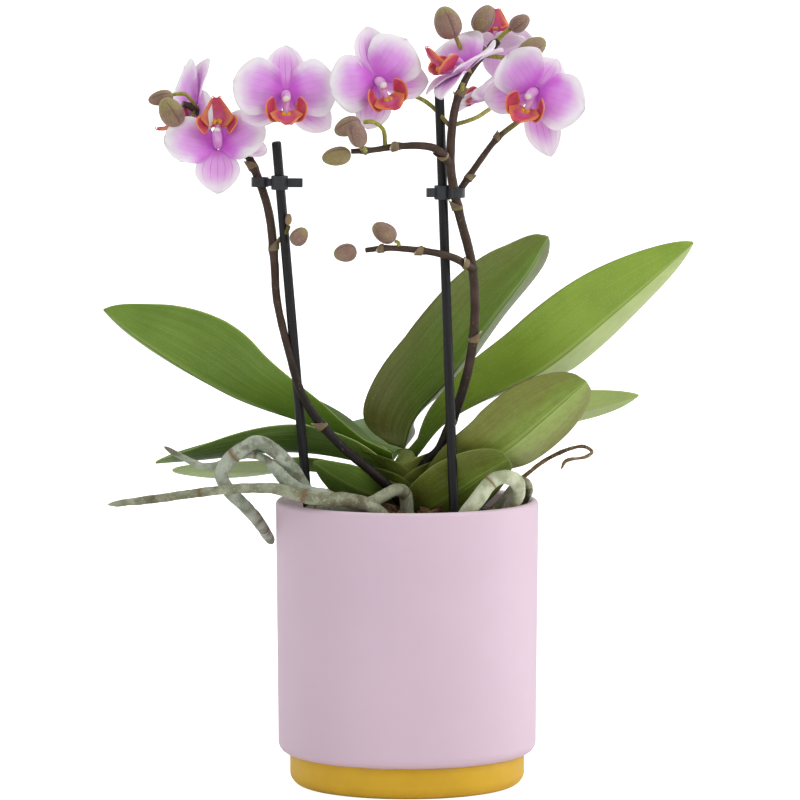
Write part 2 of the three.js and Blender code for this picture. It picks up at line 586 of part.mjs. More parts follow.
// ---- fitting: each piece is cut back to leave a gap to the pieces named before it ----
const shaped = (table, make, material) =>
  Object.entries(table).map(([name, spec]) => ({ name, shape: make(spec), material }));
const pieces = [
  { name: "ceramic_pot", shape: coverPot, material: ceramic },
  { name: "nursery_pot", shape: nurseryPot, material: nurseryPlastic },
  ...shaped(STICKS, stick, stickPlastic),
  ...shaped(SPIKES, spike, stalkBrown),
  ...shaped(CLIPS, clip, clipPlastic),
  { name: "crown", shape: crown, material: crownGreen },
  ...shaped(ROOTS, root, rootGrey),
  ...shaped(LEAVES, (leaf) => (grow) => bladeSolid({ thickness: LEAF_THICKNESS, ...leaf }, grow), leafGreen),
  ...Object.entries(FLOWERS).flatMap(([name, spec]) => [
    { name: `${name}_lip`, shape: lipAndColumn(spec), material: lipOrange },
    { name: `${name}_petals`, shape: perianth(spec), material: petalLilac },
  ]),
  ...shaped(BUDS, bud, budBrown),
  { name: "bark_mix", shape: barkFill, material: bark },
];

function boxesTouch(a, b) {
  return [0, 1, 2].every((axis) => a.min[axis] <= b.max[axis] && b.min[axis] <= a.max[axis]);
}

function largestBody(solid) {
  const bodies = solid.decompose();
  return bodies.reduce((best, body) => (body.volume() > best.volume() ? body : best));
}

const group = new THREE.Group();
const placed = [];
for (const { name, shape, material } of pieces) {
  let solid = shape(0);
  for (const earlier of placed) {
    if (boxesTouch(solid.boundingBox(), earlier.boundingBox())) solid = solid.subtract(earlier);
  }
  const mesh = new THREE.Mesh(geometryOf(largestBody(solid)), material);
  mesh.name = name;
  group.add(mesh);
  placed.push(shape(GAP));
}

export default group;
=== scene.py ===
import math
import random

import bpy
from mathutils import Matrix, Vector, noise


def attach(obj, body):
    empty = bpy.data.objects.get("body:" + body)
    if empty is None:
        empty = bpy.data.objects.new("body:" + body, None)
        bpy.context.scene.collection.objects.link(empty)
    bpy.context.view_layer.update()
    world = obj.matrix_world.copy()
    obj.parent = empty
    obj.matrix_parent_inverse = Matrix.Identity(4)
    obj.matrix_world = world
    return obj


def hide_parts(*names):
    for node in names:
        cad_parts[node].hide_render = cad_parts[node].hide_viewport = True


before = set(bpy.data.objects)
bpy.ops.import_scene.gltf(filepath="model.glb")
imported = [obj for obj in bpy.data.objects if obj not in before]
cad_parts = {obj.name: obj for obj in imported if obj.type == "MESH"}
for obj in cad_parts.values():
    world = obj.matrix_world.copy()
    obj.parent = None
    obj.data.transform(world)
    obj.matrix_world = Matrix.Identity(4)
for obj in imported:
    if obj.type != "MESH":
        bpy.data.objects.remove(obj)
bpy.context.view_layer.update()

MM = 0.001

# ---- Studio ------------------------------------------------------------------------------------
# A white sweep under broad, soft lamps, seen from slightly above through a long lens that
# frames the whole plant.
scene = bpy.context.scene
scene.view_settings.view_transform = "Standard"


def colour(code):
    """A colour written as six sRGB hex digits, as linear red, green, blue and alpha."""
    parts = [int(code[i:i + 2], 16) / 255 for i in (0, 2, 4)]
    return tuple(p / 12.92 if p <= 0.04045 else ((p + 0.055) / 1.055) ** 2.4 for p in parts) + (1.0,)


def fill(tree, sockets, values):
    """Links each value that is an output to its socket, and sets the others."""
    for key, value in values.items():
        if isinstance(value, bpy.types.NodeSocket):
            tree.links.new(value, sockets[key])
        else:
            sockets[key].default_value = value


def add_node(tree, kind, inputs=None, **settings):
    """A node with its settings made and its inputs set, or linked where an output is given."""
    made = tree.nodes.new(kind)
    for name, value in settings.items():
        setattr(made, name, value)
    fill(tree, made.inputs, inputs or {})
    return made


def add_lamp(name, place, aim, size, power, tint="ffffff"):
    lamp = bpy.data.lights.new(name, "AREA")
    lamp.shape = "RECTANGLE"
    lamp.size, lamp.size_y = size
    lamp.energy = power
    lamp.color = colour(tint)[:3]
    lamp_object = bpy.data.objects.new(name, lamp)
    lamp_object.location = place
    lamp_object.rotation_euler = (Vector(aim) - Vector(place)).to_track_quat("-Z", "Y").to_euler()
    scene.collection.objects.link(lamp_object)


PLANT_MIDDLE = (0, 0, 0.17)
add_lamp("key_lamp", (1.25, -1.2, 1.2), PLANT_MIDDLE, (1.3, 1.3), 13.5)
add_lamp("fill_lamp", (-1.4, -1.0, 0.7), PLANT_MIDDLE, (1.2, 1.2), 4.0)
add_lamp("top_lamp", (0, 0.35, 1.7), PLANT_MIDDLE, (1.4, 1.4), 7.5)
add_lamp("rim_lamp_left", (-1.2, 1.1, 0.8), PLANT_MIDDLE, (0.8, 1.4), 5.5)
add_lamp("rim_lamp_right", (1.5, 0.35, 0.7), PLANT_MIDDLE, (0.8, 1.4), 10)

AIR_STRENGTH = 0.46
world = bpy.data.worlds.new("studio_air")
world.use_nodes = True
world.node_tree.nodes["Background"].inputs["Color"].default_value = (1, 1, 1, 1)
world.node_tree.nodes["Background"].inputs["Strength"].default_value = AIR_STRENGTH
scene.world = world

LENS_LENGTH = 283.4
CAMERA_DIP = 5.437
camera = bpy.data.objects.new("camera", bpy.data.cameras.new("camera"))
camera.data.sensor_width = 36
camera.data.lens = LENS_LENGTH
camera.data.clip_end = 100
camera.location = (-0.003, -2.620, 0.411)
camera.rotation_euler = (math.radians(90 - CAMERA_DIP), 0, 0)
scene.collection.objects.link(camera)
scene.camera = camera


def mesh_piece(name, points, faces, numbers=None, smooth=True):
    """An object made of points and faces, with named numbers stored on its points."""
    mesh = bpy.data.meshes.new(name)
    mesh.from_pydata([tuple(p) for p in points], [], faces)
    for label, values in (numbers or {}).items():
        mesh.attributes.new(label, "FLOAT", "POINT").data.foreach_set("value", values)
    mesh.polygons.foreach_set("use_smooth", [smooth] * len(mesh.polygons))
    mesh.update()
    piece = bpy.data.objects.new(name, mesh)
    scene.collection.objects.link(piece)
    return piece


def new_finish(name, **sockets):
    """A material, its node tree and its Principled shader, with the shader's plain values set."""
    finish = bpy.data.materials.new(name)
    finish.use_nodes = True
    shader = finish.node_tree.nodes["Principled BSDF"]
    for label, value in sockets.items():
        shader.inputs[label.replace("_", " ")].default_value = value
    return finish, finish.node_tree, shader


FLOOR_HALF = 5
SWEEP_START = 1.6
SWEEP_RADIUS = 1.5
SWEEP_STEPS = 24
FLOOR_FRONT = -4
WALL_TOP = 6
PAPER_GLOW = 0.85
sweep = [(FLOOR_FRONT, 0), (SWEEP_START, 0)]
for step in range(1, SWEEP_STEPS + 1):
    turn = math.pi / 2 * step / SWEEP_STEPS
    sweep.append((SWEEP_START + SWEEP_RADIUS * math.sin(turn), SWEEP_RADIUS * (1 - math.cos(turn))))
sweep.append((SWEEP_START + SWEEP_RADIUS, WALL_TOP))
floor = mesh_piece(
    "studio_floor",
    [(x, y, z) for y, z in sweep for x in (-FLOOR_HALF, FLOOR_HALF)],
    [(2 * i, 2 * i + 1, 2 * i + 3, 2 * i + 2) for i in range(len(sweep) - 1)],
)
paper, paper_tree, paper_shader = new_finish(
    "white_paper", Roughness=0.9, Base_Color=(0.93, 0.93, 0.93, 1), Emission_Color=(1, 1, 1, 1),
)
seen = add_node(paper_tree, "ShaderNodeLightPath").outputs["Is Camera Ray"]
glow = add_node(paper_tree, "ShaderNodeMath", {0: seen, 1: PAPER_GLOW}, operation="MULTIPLY").outputs[0]
paper_tree.links.new(glow, paper_shader.inputs["Emission Strength"])
floor.data.materials.append(paper)

# ---- Cover pot ---------------------------------------------------------------------------------
# A slip-cast earthenware pot: matte lavender glaze down to the set-back neck, and a mustard
# glaze on the foot below it. The lip is half round and the glaze thins along its edges.
POT_HEIGHT = 120
RIM_RADIUS = 55
BELLY_RADIUS = 54.1
POT_WALL = 4
POT_FLOOR = 6
FOOT_RADIUS = 49.2
FOOT_EDGE = 5.5
NECK_TOP = 13.5
SHOULDER_RADIUS = 4.9


def arc(x, y, radius, start, end, steps):
    angles = [math.radians(start + (end - start) * i / steps) for i in range(steps + 1)]
    return [(x + radius * math.cos(a), y + radius * math.sin(a)) for a in angles]


def turned_piece(name, outline, segments, wander=None):
    """A lathe turning of (radius, height) points in mm that start and end on the axis."""
    points = [Vector((0, 0, outline[0][1] * MM))]
    rings = outline[1:-1]
    for radius, height in rings:
        for k in range(segments):
            turn = 2 * math.pi * k / segments
            shift = wander(turn, height) if wander else 0
            points.append(
                Vector(((radius + shift) * math.cos(turn), (radius + shift) * math.sin(turn), height)) * MM
            )
    points.append(Vector((0, 0, outline[-1][1] * MM)))
    last = len(points) - 1
    faces = []
    for k in range(segments):
        after = (k + 1) % segments
        faces.append((0, 1 + after, 1 + k))
        for ring in range(len(rings) - 1):
            low, high = 1 + ring * segments, 1 + (ring + 1) * segments
            faces.append((low + k, low + after, high + after, high + k))
        top = 1 + (len(rings) - 1) * segments
        faces.append((top + k, top + after, last))
    return mesh_piece(name, points, faces)


def add_group(name, inputs, outputs):
    """An empty shader group with named sockets, its Group Input and its Group Output."""
    group = bpy.data.node_groups.new(name, "ShaderNodeTree")
    kinds = {"f": "NodeSocketFloat", "c": "NodeSocketColor", "v": "NodeSocketVector"}
    for label, kind in inputs.items():
        group.interface.new_socket(label, in_out="INPUT", socket_type=kinds[kind])
    for label, kind in outputs.items():
        group.interface.new_socket(label, in_out="OUTPUT", socket_type=kinds[kind])
    return group, group.nodes.new("NodeGroupInput").outputs, group.nodes.new("NodeGroupOutput").inputs


def maths(tree, operation, *values):
    return add_node(tree, "ShaderNodeMath", dict(enumerate(values)), operation=operation).outputs[0]


def times(tree, first, second):
    return maths(tree, "MULTIPLY", first, second)


def plus(tree, first, second):
    return maths(tree, "ADD", first, second)


def mixed(tree, factor, first, second):
    """A Mix node between two colours."""
    return add_node(tree, "ShaderNodeMix", {0: factor, 6: first, 7: second}, data_type="RGBA").outputs[2]


def ramped(tree, value, low, high):
    """0 below low and 1 above high, with a soft change between them; low may be above high."""
    ends = (low, high, 0.0, 1.0)
    if not isinstance(low, bpy.types.NodeSocket) and low > high:
        ends = (high, low, 1.0, 0.0)
    inputs = dict(enumerate((value, *ends)))
    return add_node(tree, "ShaderNodeMapRange", inputs, interpolation_type="SMOOTHSTEP").outputs[0]


def noise_value(tree, vector, scale, detail=3.0, roughness=0.55):
    return add_node(
        tree, "ShaderNodeTexNoise",
        {"Vector": vector, "Scale": scale, "Detail": detail, "Roughness": roughness},
    ).outputs["Fac"]


def object_place(tree):
    return add_node(tree, "ShaderNodeTexCoord").outputs["Object"]


def bumped(tree, shader, height, strength, distance):
    bump = add_node(tree, "ShaderNodeBump", {"Height": height, "Strength": strength, "Distance": distance})
    tree.links.new(bump.outputs["Normal"], shader.inputs["Normal"])


# Soft patches of a second tone over a first, at one scale: used on glaze, plastic, bark and skin.
patches, given, put = add_group(
    "tone_patches",
    {"Vector": "v", "Scale": "f", "Spread": "f", "First": "c", "Second": "c"},
    {"Color": "c", "Mask": "f"},
)
coarse = noise_value(patches, given["Vector"], given["Scale"], 4.0)
low_edge = maths(patches, "SUBTRACT", 0.5, given["Spread"])
high_edge = plus(patches, 0.5, given["Spread"])
patch_mask = ramped(patches, coarse, low_edge, high_edge)
patches.links.new(mixed(patches, patch_mask, given["First"], given["Second"]), put["Color"])
patches.links.new(patch_mask, put["Mask"])


def tone_patches(tree, vector, scale, spread, first, second):
    """The group's outputs: its colour, then the mask of the second tone."""
    values = {"Vector": vector, "Scale": scale, "Spread": spread, "First": first, "Second": second}
    return add_node(tree, "ShaderNodeGroup", values, node_tree=patches).outputs


rim = RIM_RADIUS - POT_WALL / 2
inner = RIM_RADIUS - POT_WALL
shoulder = BELLY_RADIUS - SHOULDER_RADIUS
pot = turned_piece(
    "glazed_cover_pot",
    [
        (0, 0.9), (34, 0.9), (35.5, 0.5), (36.6, 0),
        *arc(FOOT_RADIUS - FOOT_EDGE, FOOT_EDGE, FOOT_EDGE, -90, 0, 12),
        (FOOT_RADIUS, 9.5), (FOOT_RADIUS, NECK_TOP - 0.6), (FOOT_RADIUS - 0.35, NECK_TOP - 0.1),
        *arc(shoulder, NECK_TOP + SHOULDER_RADIUS, SHOULDER_RADIUS, -80, 0, 12),
        *[(BELLY_RADIUS + (RIM_RADIUS - BELLY_RADIUS) * i / 20, 20 + 98 * i / 20) for i in range(1, 20)],
        *arc(rim, POT_HEIGHT - POT_WALL / 2, POT_WALL / 2, 0, 180, 14),
        *[(inner - i / 8, POT_HEIGHT - 3 - (POT_HEIGHT - NECK_TOP - 13) * i / 8) for i in range(1, 9)],
        (inner - 3, POT_FLOOR + 10), (inner - 6, POT_FLOOR + 3), (inner - 10, POT_FLOOR), (0, POT_FLOOR),
    ],
    160,
)
glaze, tree, shader = new_finish(
    "lavender_and_mustard_glaze", Specular_IOR_Level=0.38, Coat_Weight=0.06, Coat_Roughness=0.35,
)
place = object_place(tree)
height = add_node(tree, "ShaderNodeSeparateXYZ", {"Vector": place}).outputs["Z"]
lavender = tone_patches(tree, place, 22.0, 0.3, colour("dcc3d3"), colour("d8bfcf"))[0]
mustard = tone_patches(tree, place, 60.0, 0.25, colour("deb324"), colour("d3a61c"))[0]
edge_wobble = times(tree, noise_value(tree, place, 90.0, 2.0), 0.0006)
glaze_line = ramped(tree, plus(tree, height, edge_wobble), (NECK_TOP - 0.15) * MM, (NECK_TOP + 0.25) * MM)
body_colour = mixed(tree, glaze_line, mustard, lavender)
thin_glaze = ramped(tree, height, (POT_HEIGHT - 1.4) * MM, POT_HEIGHT * MM)
rim_colour = mixed(tree, times(tree, thin_glaze, 0.4), body_colour, colour("e6d3de"))
pits = add_node(tree, "ShaderNodeTexVoronoi", {"Vector": place, "Scale": 420.0}).outputs["Distance"]
pit_mask = ramped(tree, pits, 0.07, 0.03)
pit_cover = times(tree, pit_mask, ramped(tree, noise_value(tree, place, 45.0), 0.55, 0.7))
speck = mixed(tree, times(tree, pit_cover, 0.18), rim_colour, colour("b596a8"))
fill(tree, shader.inputs, {"Base Color": speck})
sheen_patch = noise_value(tree, place, 30.0, 4.0)
fill(tree, shader.inputs, {"Roughness": plus(tree, times(tree, sheen_patch, 0.14), 0.44)})
orange_peel = noise_value(tree, place, 260.0, 3.0)
casting_wave = noise_value(tree, place, 26.0, 1.0)
surface = plus(tree, times(tree, casting_wave, 3.0), maths(tree, "SUBTRACT", orange_peel, pit_cover))
bumped(tree, shader, surface, 0.25, 0.00022)
pot.data.materials.append(glaze)
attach(pot, "root")
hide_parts("ceramic_pot")

# ---- Nursery pot -------------------------------------------------------------------------------
# The thin, tapering plastic pot the plant was grown in: blow moulded, dark and slightly
# translucent, with a turned-out rim. It stands loose on the floor of the cover pot.
NURSERY_TOP = 113
NURSERY_BOTTOM = 6.85
NURSERY_TOP_RADIUS = 46
NURSERY_BOTTOM_RADIUS = 37
RIB_COUNT = 24
RIB_DEPTH = 0.25
RIBS_FROM, RIBS_TO = 18, 92


def draw_ribs(turn, height):
    """Shallow moulded ribs down the lower wall."""
    return RIB_DEPTH * max(0, math.cos(RIB_COUNT * turn)) if RIBS_FROM < height < RIBS_TO else 0


nursery = turned_piece(
    "grower_pot",
    [
        (0, NURSERY_BOTTOM), (30, NURSERY_BOTTOM), (NURSERY_BOTTOM_RADIUS - 1.2, NURSERY_BOTTOM),
        (NURSERY_BOTTOM_RADIUS - 0.1, NURSERY_BOTTOM + 1),
        *[(NURSERY_BOTTOM_RADIUS + 9 * i / 10, NURSERY_BOTTOM + 3 + 98 * i / 10) for i in range(11)],
        (NURSERY_TOP_RADIUS + 0.3, 109.6), (NURSERY_TOP_RADIUS + 2.3, 110), (NURSERY_TOP_RADIUS + 2.6, 110.4),
        (NURSERY_TOP_RADIUS + 2.6, 112.6), (NURSERY_TOP_RADIUS + 2.2, NURSERY_TOP),
        (NURSERY_TOP_RADIUS - 0.4, NURSERY_TOP),
        (NURSERY_TOP_RADIUS - 1, 112.4), (NURSERY_TOP_RADIUS - 1.2, 108),
        (NURSERY_BOTTOM_RADIUS - 1.2, NURSERY_BOTTOM + 3), (NURSERY_BOTTOM_RADIUS - 3, NURSERY_BOTTOM + 1.2),
        (0, NURSERY_BOTTOM + 1.2),
    ],
    144, draw_ribs,
)
moulded, tree, shader = new_finish("dark_moulded_plastic", Specular_IOR_Level=0.5)
place = object_place(tree)
black_tone, scuff = tone_patches(tree, place, 40.0, 0.22, colour("1d1d1f"), colour("2b2a2a"))
limescale = ramped(tree, noise_value(tree, place, 120.0, 5.0), 0.6, 0.75)
fill(tree, shader.inputs, {
    "Base Color": mixed(tree, times(tree, limescale, 0.25), black_tone, colour("77736c")),
    "Roughness": plus(tree, times(tree, scuff, 0.2), 0.34),
})
bumped(tree, shader, noise_value(tree, place, 500.0), 0.15, 0.0002)
nursery.data.materials.append(moulded)
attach(nursery, "root")
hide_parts("nursery_pot")

# ---- Bark --------------------------------------------------------------------------------------
# Graded pine bark with a little moss, tipped in loose around the roots. The fill is one body;
# the chips that show are scattered over its top, tilted every way and half sunk.
BARK_EDGE_TOP = 104
BARK_DOME = 7
BARK_HEAP = 7
BARK_RADIUS = 44.3
CHIP_LENGTH = 8.5
CHIP_SPACING = 4.2
CHIP_SEED = 7


def bark_height(x, y):
    """The CAD fill's domed top, in mm, at x and y from -1 to 1."""
    r = min(1, math.hypot(x, y))
    lumps = 1.2 * math.sin(9 * y + 2) * math.cos(8 * x) + 0.8 * math.sin(15 * x + 4 * y)
    heap = BARK_HEAP * math.exp(-5 * ((y + 0.55) ** 2 + 0.5 * x * x))
    return BARK_EDGE_TOP + BARK_DOME * (1 - r * r) ** 0.7 + lumps + heap


BARK_RINGS, BARK_SEGMENTS = 26, 72
points = [Vector((0, 0, bark_height(0, 0) - 1)) * MM]
for ring in range(1, BARK_RINGS + 1):
    for k in range(BARK_SEGMENTS):
        turn = 2 * math.pi * k / BARK_SEGMENTS
        x, y = ring / BARK_RINGS * math.cos(turn), ring / BARK_RINGS * math.sin(turn)
        crumb = 1.1 * noise.noise(Vector((14 * x, 14 * y, 0)))
        points.append(Vector((BARK_RADIUS * x, BARK_RADIUS * y, bark_height(x, y) - 1 + crumb)) * MM)
for radius, level in ((43.6, 90), (36.2, 12), (34, 9)):
    for k in range(BARK_SEGMENTS):
        turn = 2 * math.pi * k / BARK_SEGMENTS
        points.append(Vector((radius * math.cos(turn), radius * math.sin(turn), level)) * MM)
points.append(Vector((0, 0, 9 * MM)))
faces = [(0, 1 + k, 1 + (k + 1) % BARK_SEGMENTS) for k in range(BARK_SEGMENTS)]
for ring in range(BARK_RINGS + 2):
    low, high = 1 + ring * BARK_SEGMENTS, 1 + (ring + 1) * BARK_SEGMENTS
    for k in range(BARK_SEGMENTS):
        after = (k + 1) % BARK_SEGMENTS
        faces.append((low + k, high + k, high + after, low + after))
last_ring = 1 + (BARK_RINGS + 2) * BARK_SEGMENTS
faces += [(last_ring + (k + 1) % BARK_SEGMENTS, last_ring + k, len(points) - 1) for k in range(BARK_SEGMENTS)]
bark = mesh_piece("bark_fill", points, faces)
bark.data.attributes.new("open_top", "FLOAT", "POINT").data.foreach_set(
    "value", [1.0 if i <= (BARK_RINGS - 2) * BARK_SEGMENTS else 0.0 for i in range(len(points))]
)

pine, tree, shader = new_finish("pine_bark", Specular_IOR_Level=0.25)
place = object_place(tree)
grain_place = add_node(
    tree, "ShaderNodeMapping", {"Vector": place, "Scale": (1.0, 1.0, 4.0)}
).outputs["Vector"]
brown = tone_patches(tree, place, 95.0, 0.12, colour("3d2618"), colour("7b5237"))[0]
grey, grey_mask = tone_patches(tree, grain_place, 260.0, 0.15, brown, colour("9a7c60"))
# Painted shade: near-black patches stand for the shade in the deep gaps between bark chips.
gap_shade = ramped(tree, noise_value(tree, place, 160.0, 5.0), 0.56, 0.4)
moss = ramped(tree, noise_value(tree, place, 28.0, 4.0), 0.6, 0.68)
gap_shaded = mixed(tree, times(tree, gap_shade, 0.75), grey, colour("1c120c"))
fill(tree, shader.inputs, {"Base Color": mixed(tree, times(tree, moss, 0.55), gap_shaded, colour("6b7338"))})
shader.inputs["Roughness"].default_value = 0.9
bumped(tree, shader, plus(tree, noise_value(tree, grain_place, 420.0, 4.0), grey_mask), 0.9, 0.0008)


def tree_of_geometry(name, inputs):
    """An empty Geometry Nodes tree with named inputs; returns it with its input and output sockets."""
    made = bpy.data.node_groups.new(name, "GeometryNodeTree")
    made.interface.new_socket("Geometry", in_out="INPUT", socket_type="NodeSocketGeometry")
    for label, kind in inputs.items():
        made.interface.new_socket(label, in_out="INPUT", socket_type=kind)
    made.interface.new_socket("Geometry", in_out="OUTPUT", socket_type="NodeSocketGeometry")
    given = made.nodes.new("NodeGroupInput").outputs
    return made, given, made.nodes.new("NodeGroupOutput").inputs["Geometry"]


def grown(piece, nodes, values):
    """Runs a Geometry Nodes tree on a piece and keeps the result as its plain mesh."""
    modifier = piece.modifiers.new(nodes.name, "NODES")
    modifier.node_group = nodes
    for item in nodes.interface.items_tree:
        if item.in_out == "INPUT" and item.name in values:
            modifier[item.identifier] = values[item.name]
    evaluated = piece.evaluated_get(bpy.context.evaluated_depsgraph_get())
    mesh = bpy.data.meshes.new_from_object(evaluated)
    piece.modifiers.remove(modifier)
    piece.data = mesh
    mesh.name = piece.name
    return piece


chips, given, result = tree_of_geometry(
    "scatter_bark_chips",
    {
        "Chip Length": "NodeSocketFloat", "Spacing": "NodeSocketFloat", "Seed": "NodeSocketInt",
        "Finish": "NodeSocketMaterial",
    },
)
chip = add_node(
    chips, "GeometryNodeMeshCube",
    {"Size": (1.0, 0.62, 0.34), "Vertices X": 4, "Vertices Y": 3, "Vertices Z": 3}
)
chip_place = add_node(chips, "GeometryNodeInputPosition").outputs[0]
split_noise = add_node(chips, "ShaderNodeTexNoise", {"Vector": chip_place, "Scale": 2.4, "Detail": 2.0})
centred = add_node(
    chips, "ShaderNodeVectorMath", {0: split_noise.outputs["Color"], 1: (0.5, 0.5, 0.5)}, operation="SUBTRACT"
)
knocked = add_node(
    chips, "ShaderNodeVectorMath", {0: centred.outputs[0], 1: (0.75, 0.75, 0.6)}, operation="MULTIPLY"
)
rough_chip = add_node(
    chips, "GeometryNodeSetPosition", {"Geometry": chip.outputs["Mesh"], "Offset": knocked.outputs[0]}
)
top_mask = add_node(
    chips, "GeometryNodeInputNamedAttribute", {"Name": "open_top"}, data_type="FLOAT"
).outputs["Attribute"]
spots = add_node(
    chips, "GeometryNodeDistributePointsOnFaces",
    {
        "Mesh": given["Geometry"], "Distance Min": given["Spacing"], "Density Max": 60000.0,
        "Density Factor": top_mask, "Seed": given["Seed"],
    },
    distribute_method="POISSON",
)
tilt = add_node(
    chips, "FunctionNodeRandomValue", {0: (-0.5, -0.5, 0.0), 1: (0.5, 0.5, 6.28), "Seed": given["Seed"]},
    data_type="FLOAT_VECTOR",
).outputs[0]
length = add_node(
    chips, "FunctionNodeRandomValue", {2: 0.55, 3: 1.25, "Seed": given["Seed"]}, data_type="FLOAT"
).outputs[1]
scaled = add_node(
    chips, "ShaderNodeMath", {0: length, 1: given["Chip Length"]}, operation="MULTIPLY"
).outputs[0]
strewn = add_node(
    chips, "GeometryNodeInstanceOnPoints",
    {"Points": spots.outputs["Points"], "Instance": rough_chip.outputs[0], "Rotation": tilt, "Scale": scaled},
)
loose = add_node(chips, "GeometryNodeRealizeInstances", {"Geometry": strewn.outputs[0]})
flat = add_node(chips, "GeometryNodeSetShadeSmooth", {"Geometry": loose.outputs[0], "Shade Smooth": False})
both = add_node(chips, "GeometryNodeJoinGeometry")
chips.links.new(given["Geometry"], both.inputs[0])
chips.links.new(flat.outputs[0], both.inputs[0])
coated = add_node(
    chips, "GeometryNodeSetMaterial", {"Geometry": both.outputs[0], "Material": given["Finish"]}
)
chips.links.new(coated.outputs[0], result)
grown(
    bark, chips,
    {"Chip Length": CHIP_LENGTH * MM, "Spacing": CHIP_SPACING * MM, "Seed": CHIP_SEED, "Finish": pine}
)
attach(bark, "root")
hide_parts("bark_mix")

# ---- Support sticks ----------------------------------------------------------------------------
# Two extruded plastic rods, nearly black, pushed into the bark to hold the spikes up. Their
# tops are cut square with the edge broken, and the skin shows faint drawing lines.
STICK_RADIUS = 2


def smooth_path(points, count):
    """count + 1 evenly spaced points, in metres, on a centripetal curve through points in mm."""
    knots = [Vector(p) * MM for p in points]
    ends = [2 * knots[0] - knots[1], *knots, 2 * knots[-1] - knots[-2]]
    dense = []
    for p0, p1, p2, p3 in zip(ends, ends[1:], ends[2:], ends[3:]):
        d0, d1, d2 = (max((b - a).length, 1e-6) ** 0.5 for a, b in ((p0, p1), (p1, p2), (p2, p3)))
        leave = ((p1 - p0) / d0 - (p2 - p0) / (d0 + d1) + (p2 - p1) / d1) * d1
        arrive = ((p2 - p1) / d1 - (p3 - p1) / (d1 + d2) + (p3 - p2) / d2) * d1
        for i in range(24):
            t = i / 24
            dense.append(
                p1 + leave * t + (3 * (p2 - p1) - 2 * leave - arrive) * t * t
                + (2 * (p1 - p2) + leave + arrive) * t ** 3
            )
    dense.append(knots[-1])
    run = [0.0]
    for a, b in zip(dense, dense[1:]):
        run.append(run[-1] + (b - a).length)
    found, k = [], 0
    for i in range(count + 1):
        target = run[-1] * i / count
        while k < len(run) - 2 and run[k + 1] < target:
            k += 1
        found.append(dense[k].lerp(dense[k + 1], (target - run[k]) / max(run[k + 1] - run[k], 1e-9)))
    return found


def value_along(values, t):
    """The value at t, from 0 to 1, of an evenly spaced list."""
    if not isinstance(values, (list, tuple)):
        return values
    place_in = min(max(t, 0), 1) * (len(values) - 1)
    low = min(int(place_in), len(values) - 2)
    return values[low] + (values[low + 1] - values[low]) * (place_in - low)


# A stem along a path: a round section of the stored girth, roughened by noise along and around it.
stem_nodes, given, result = tree_of_geometry(
    "stem_along_path",
    {
        "Sides": "NodeSocketInt", "Lumps": "NodeSocketFloat", "Lump Scale": "NodeSocketFloat",
        "Finish": "NodeSocketMaterial",
    },
)
as_curve = add_node(stem_nodes, "GeometryNodeMeshToCurve", {"Mesh": given["Geometry"]})
girth = add_node(
    stem_nodes, "GeometryNodeInputNamedAttribute", {"Name": "girth"}, data_type="FLOAT"
).outputs["Attribute"]
section = add_node(
    stem_nodes, "GeometryNodeCurvePrimitiveCircle", {"Resolution": given["Sides"], "Radius": 1.0}
)
tube = add_node(
    stem_nodes, "GeometryNodeCurveToMesh",
    {"Curve": as_curve.outputs[0], "Profile Curve": section.outputs[0], "Scale": girth, "Fill Caps": True},
)
tube_place = add_node(stem_nodes, "GeometryNodeInputPosition").outputs[0]
tube_noise = add_node(
    stem_nodes, "ShaderNodeTexNoise", {"Vector": tube_place, "Scale": given["Lump Scale"], "Detail": 3.0}
)
lump = add_node(
    stem_nodes, "ShaderNodeMath", {0: tube_noise.outputs["Fac"], 1: 0.5}, operation="SUBTRACT"
).outputs[0]
lump_size = add_node(
    stem_nodes, "ShaderNodeMath", {0: lump, 1: given["Lumps"]}, operation="MULTIPLY"
).outputs[0]
outward = add_node(stem_nodes, "GeometryNodeInputNormal").outputs[0]
push = add_node(
    stem_nodes, "ShaderNodeVectorMath", {0: outward, "Scale": lump_size}, operation="SCALE"
).outputs[0]
lumpy = add_node(stem_nodes, "GeometryNodeSetPosition", {"Geometry": tube.outputs[0], "Offset": push})
soft = add_node(
    stem_nodes, "GeometryNodeSetShadeSmooth", {"Geometry": lumpy.outputs[0], "Shade Smooth": True}
)
realised = add_node(stem_nodes, "GeometryNodeRealizeInstances", {"Geometry": soft.outputs[0]})
coated = add_node(
    stem_nodes, "GeometryNodeSetMaterial", {"Geometry": realised.outputs[0], "Material": given["Finish"]}
)
stem_nodes.links.new(coated.outputs[0], result)


def stem_piece(name, stems, finish, sides=16, lumps=0.0, lump_scale=200.0):
    """One mesh of all the stems: each has points, girth along it, and numbers stored along it."""
    points, edges, numbers = [], [], {"girth": [], "along": [], "ring": [], "tone": []}
    for stem in stems:
        path = stem["path"]
        start = len(points)
        points += path
        edges += [(start + i, start + i + 1) for i in range(len(path) - 1)]
        for i in range(len(path)):
            t = i / (len(path) - 1)
            numbers["girth"].append(stem["girth"](t) * MM)
            numbers["along"].append(t)
            numbers["ring"].append(stem["ring"](t) if "ring" in stem else 0.0)
            numbers["tone"].append(value_along(stem.get("tone", 0.0), t))
    mesh = bpy.data.meshes.new(name)
    mesh.from_pydata([tuple(p) for p in points], edges, [])
    for label, values in numbers.items():
        mesh.attributes.new(label, "FLOAT", "POINT").data.foreach_set("value", values)
    piece = bpy.data.objects.new(name, mesh)
    scene.collection.objects.link(piece)
    return grown(
        piece, stem_nodes, {"Sides": sides, "Lumps": lumps * MM, "Lump Scale": lump_scale, "Finish": finish}
    )


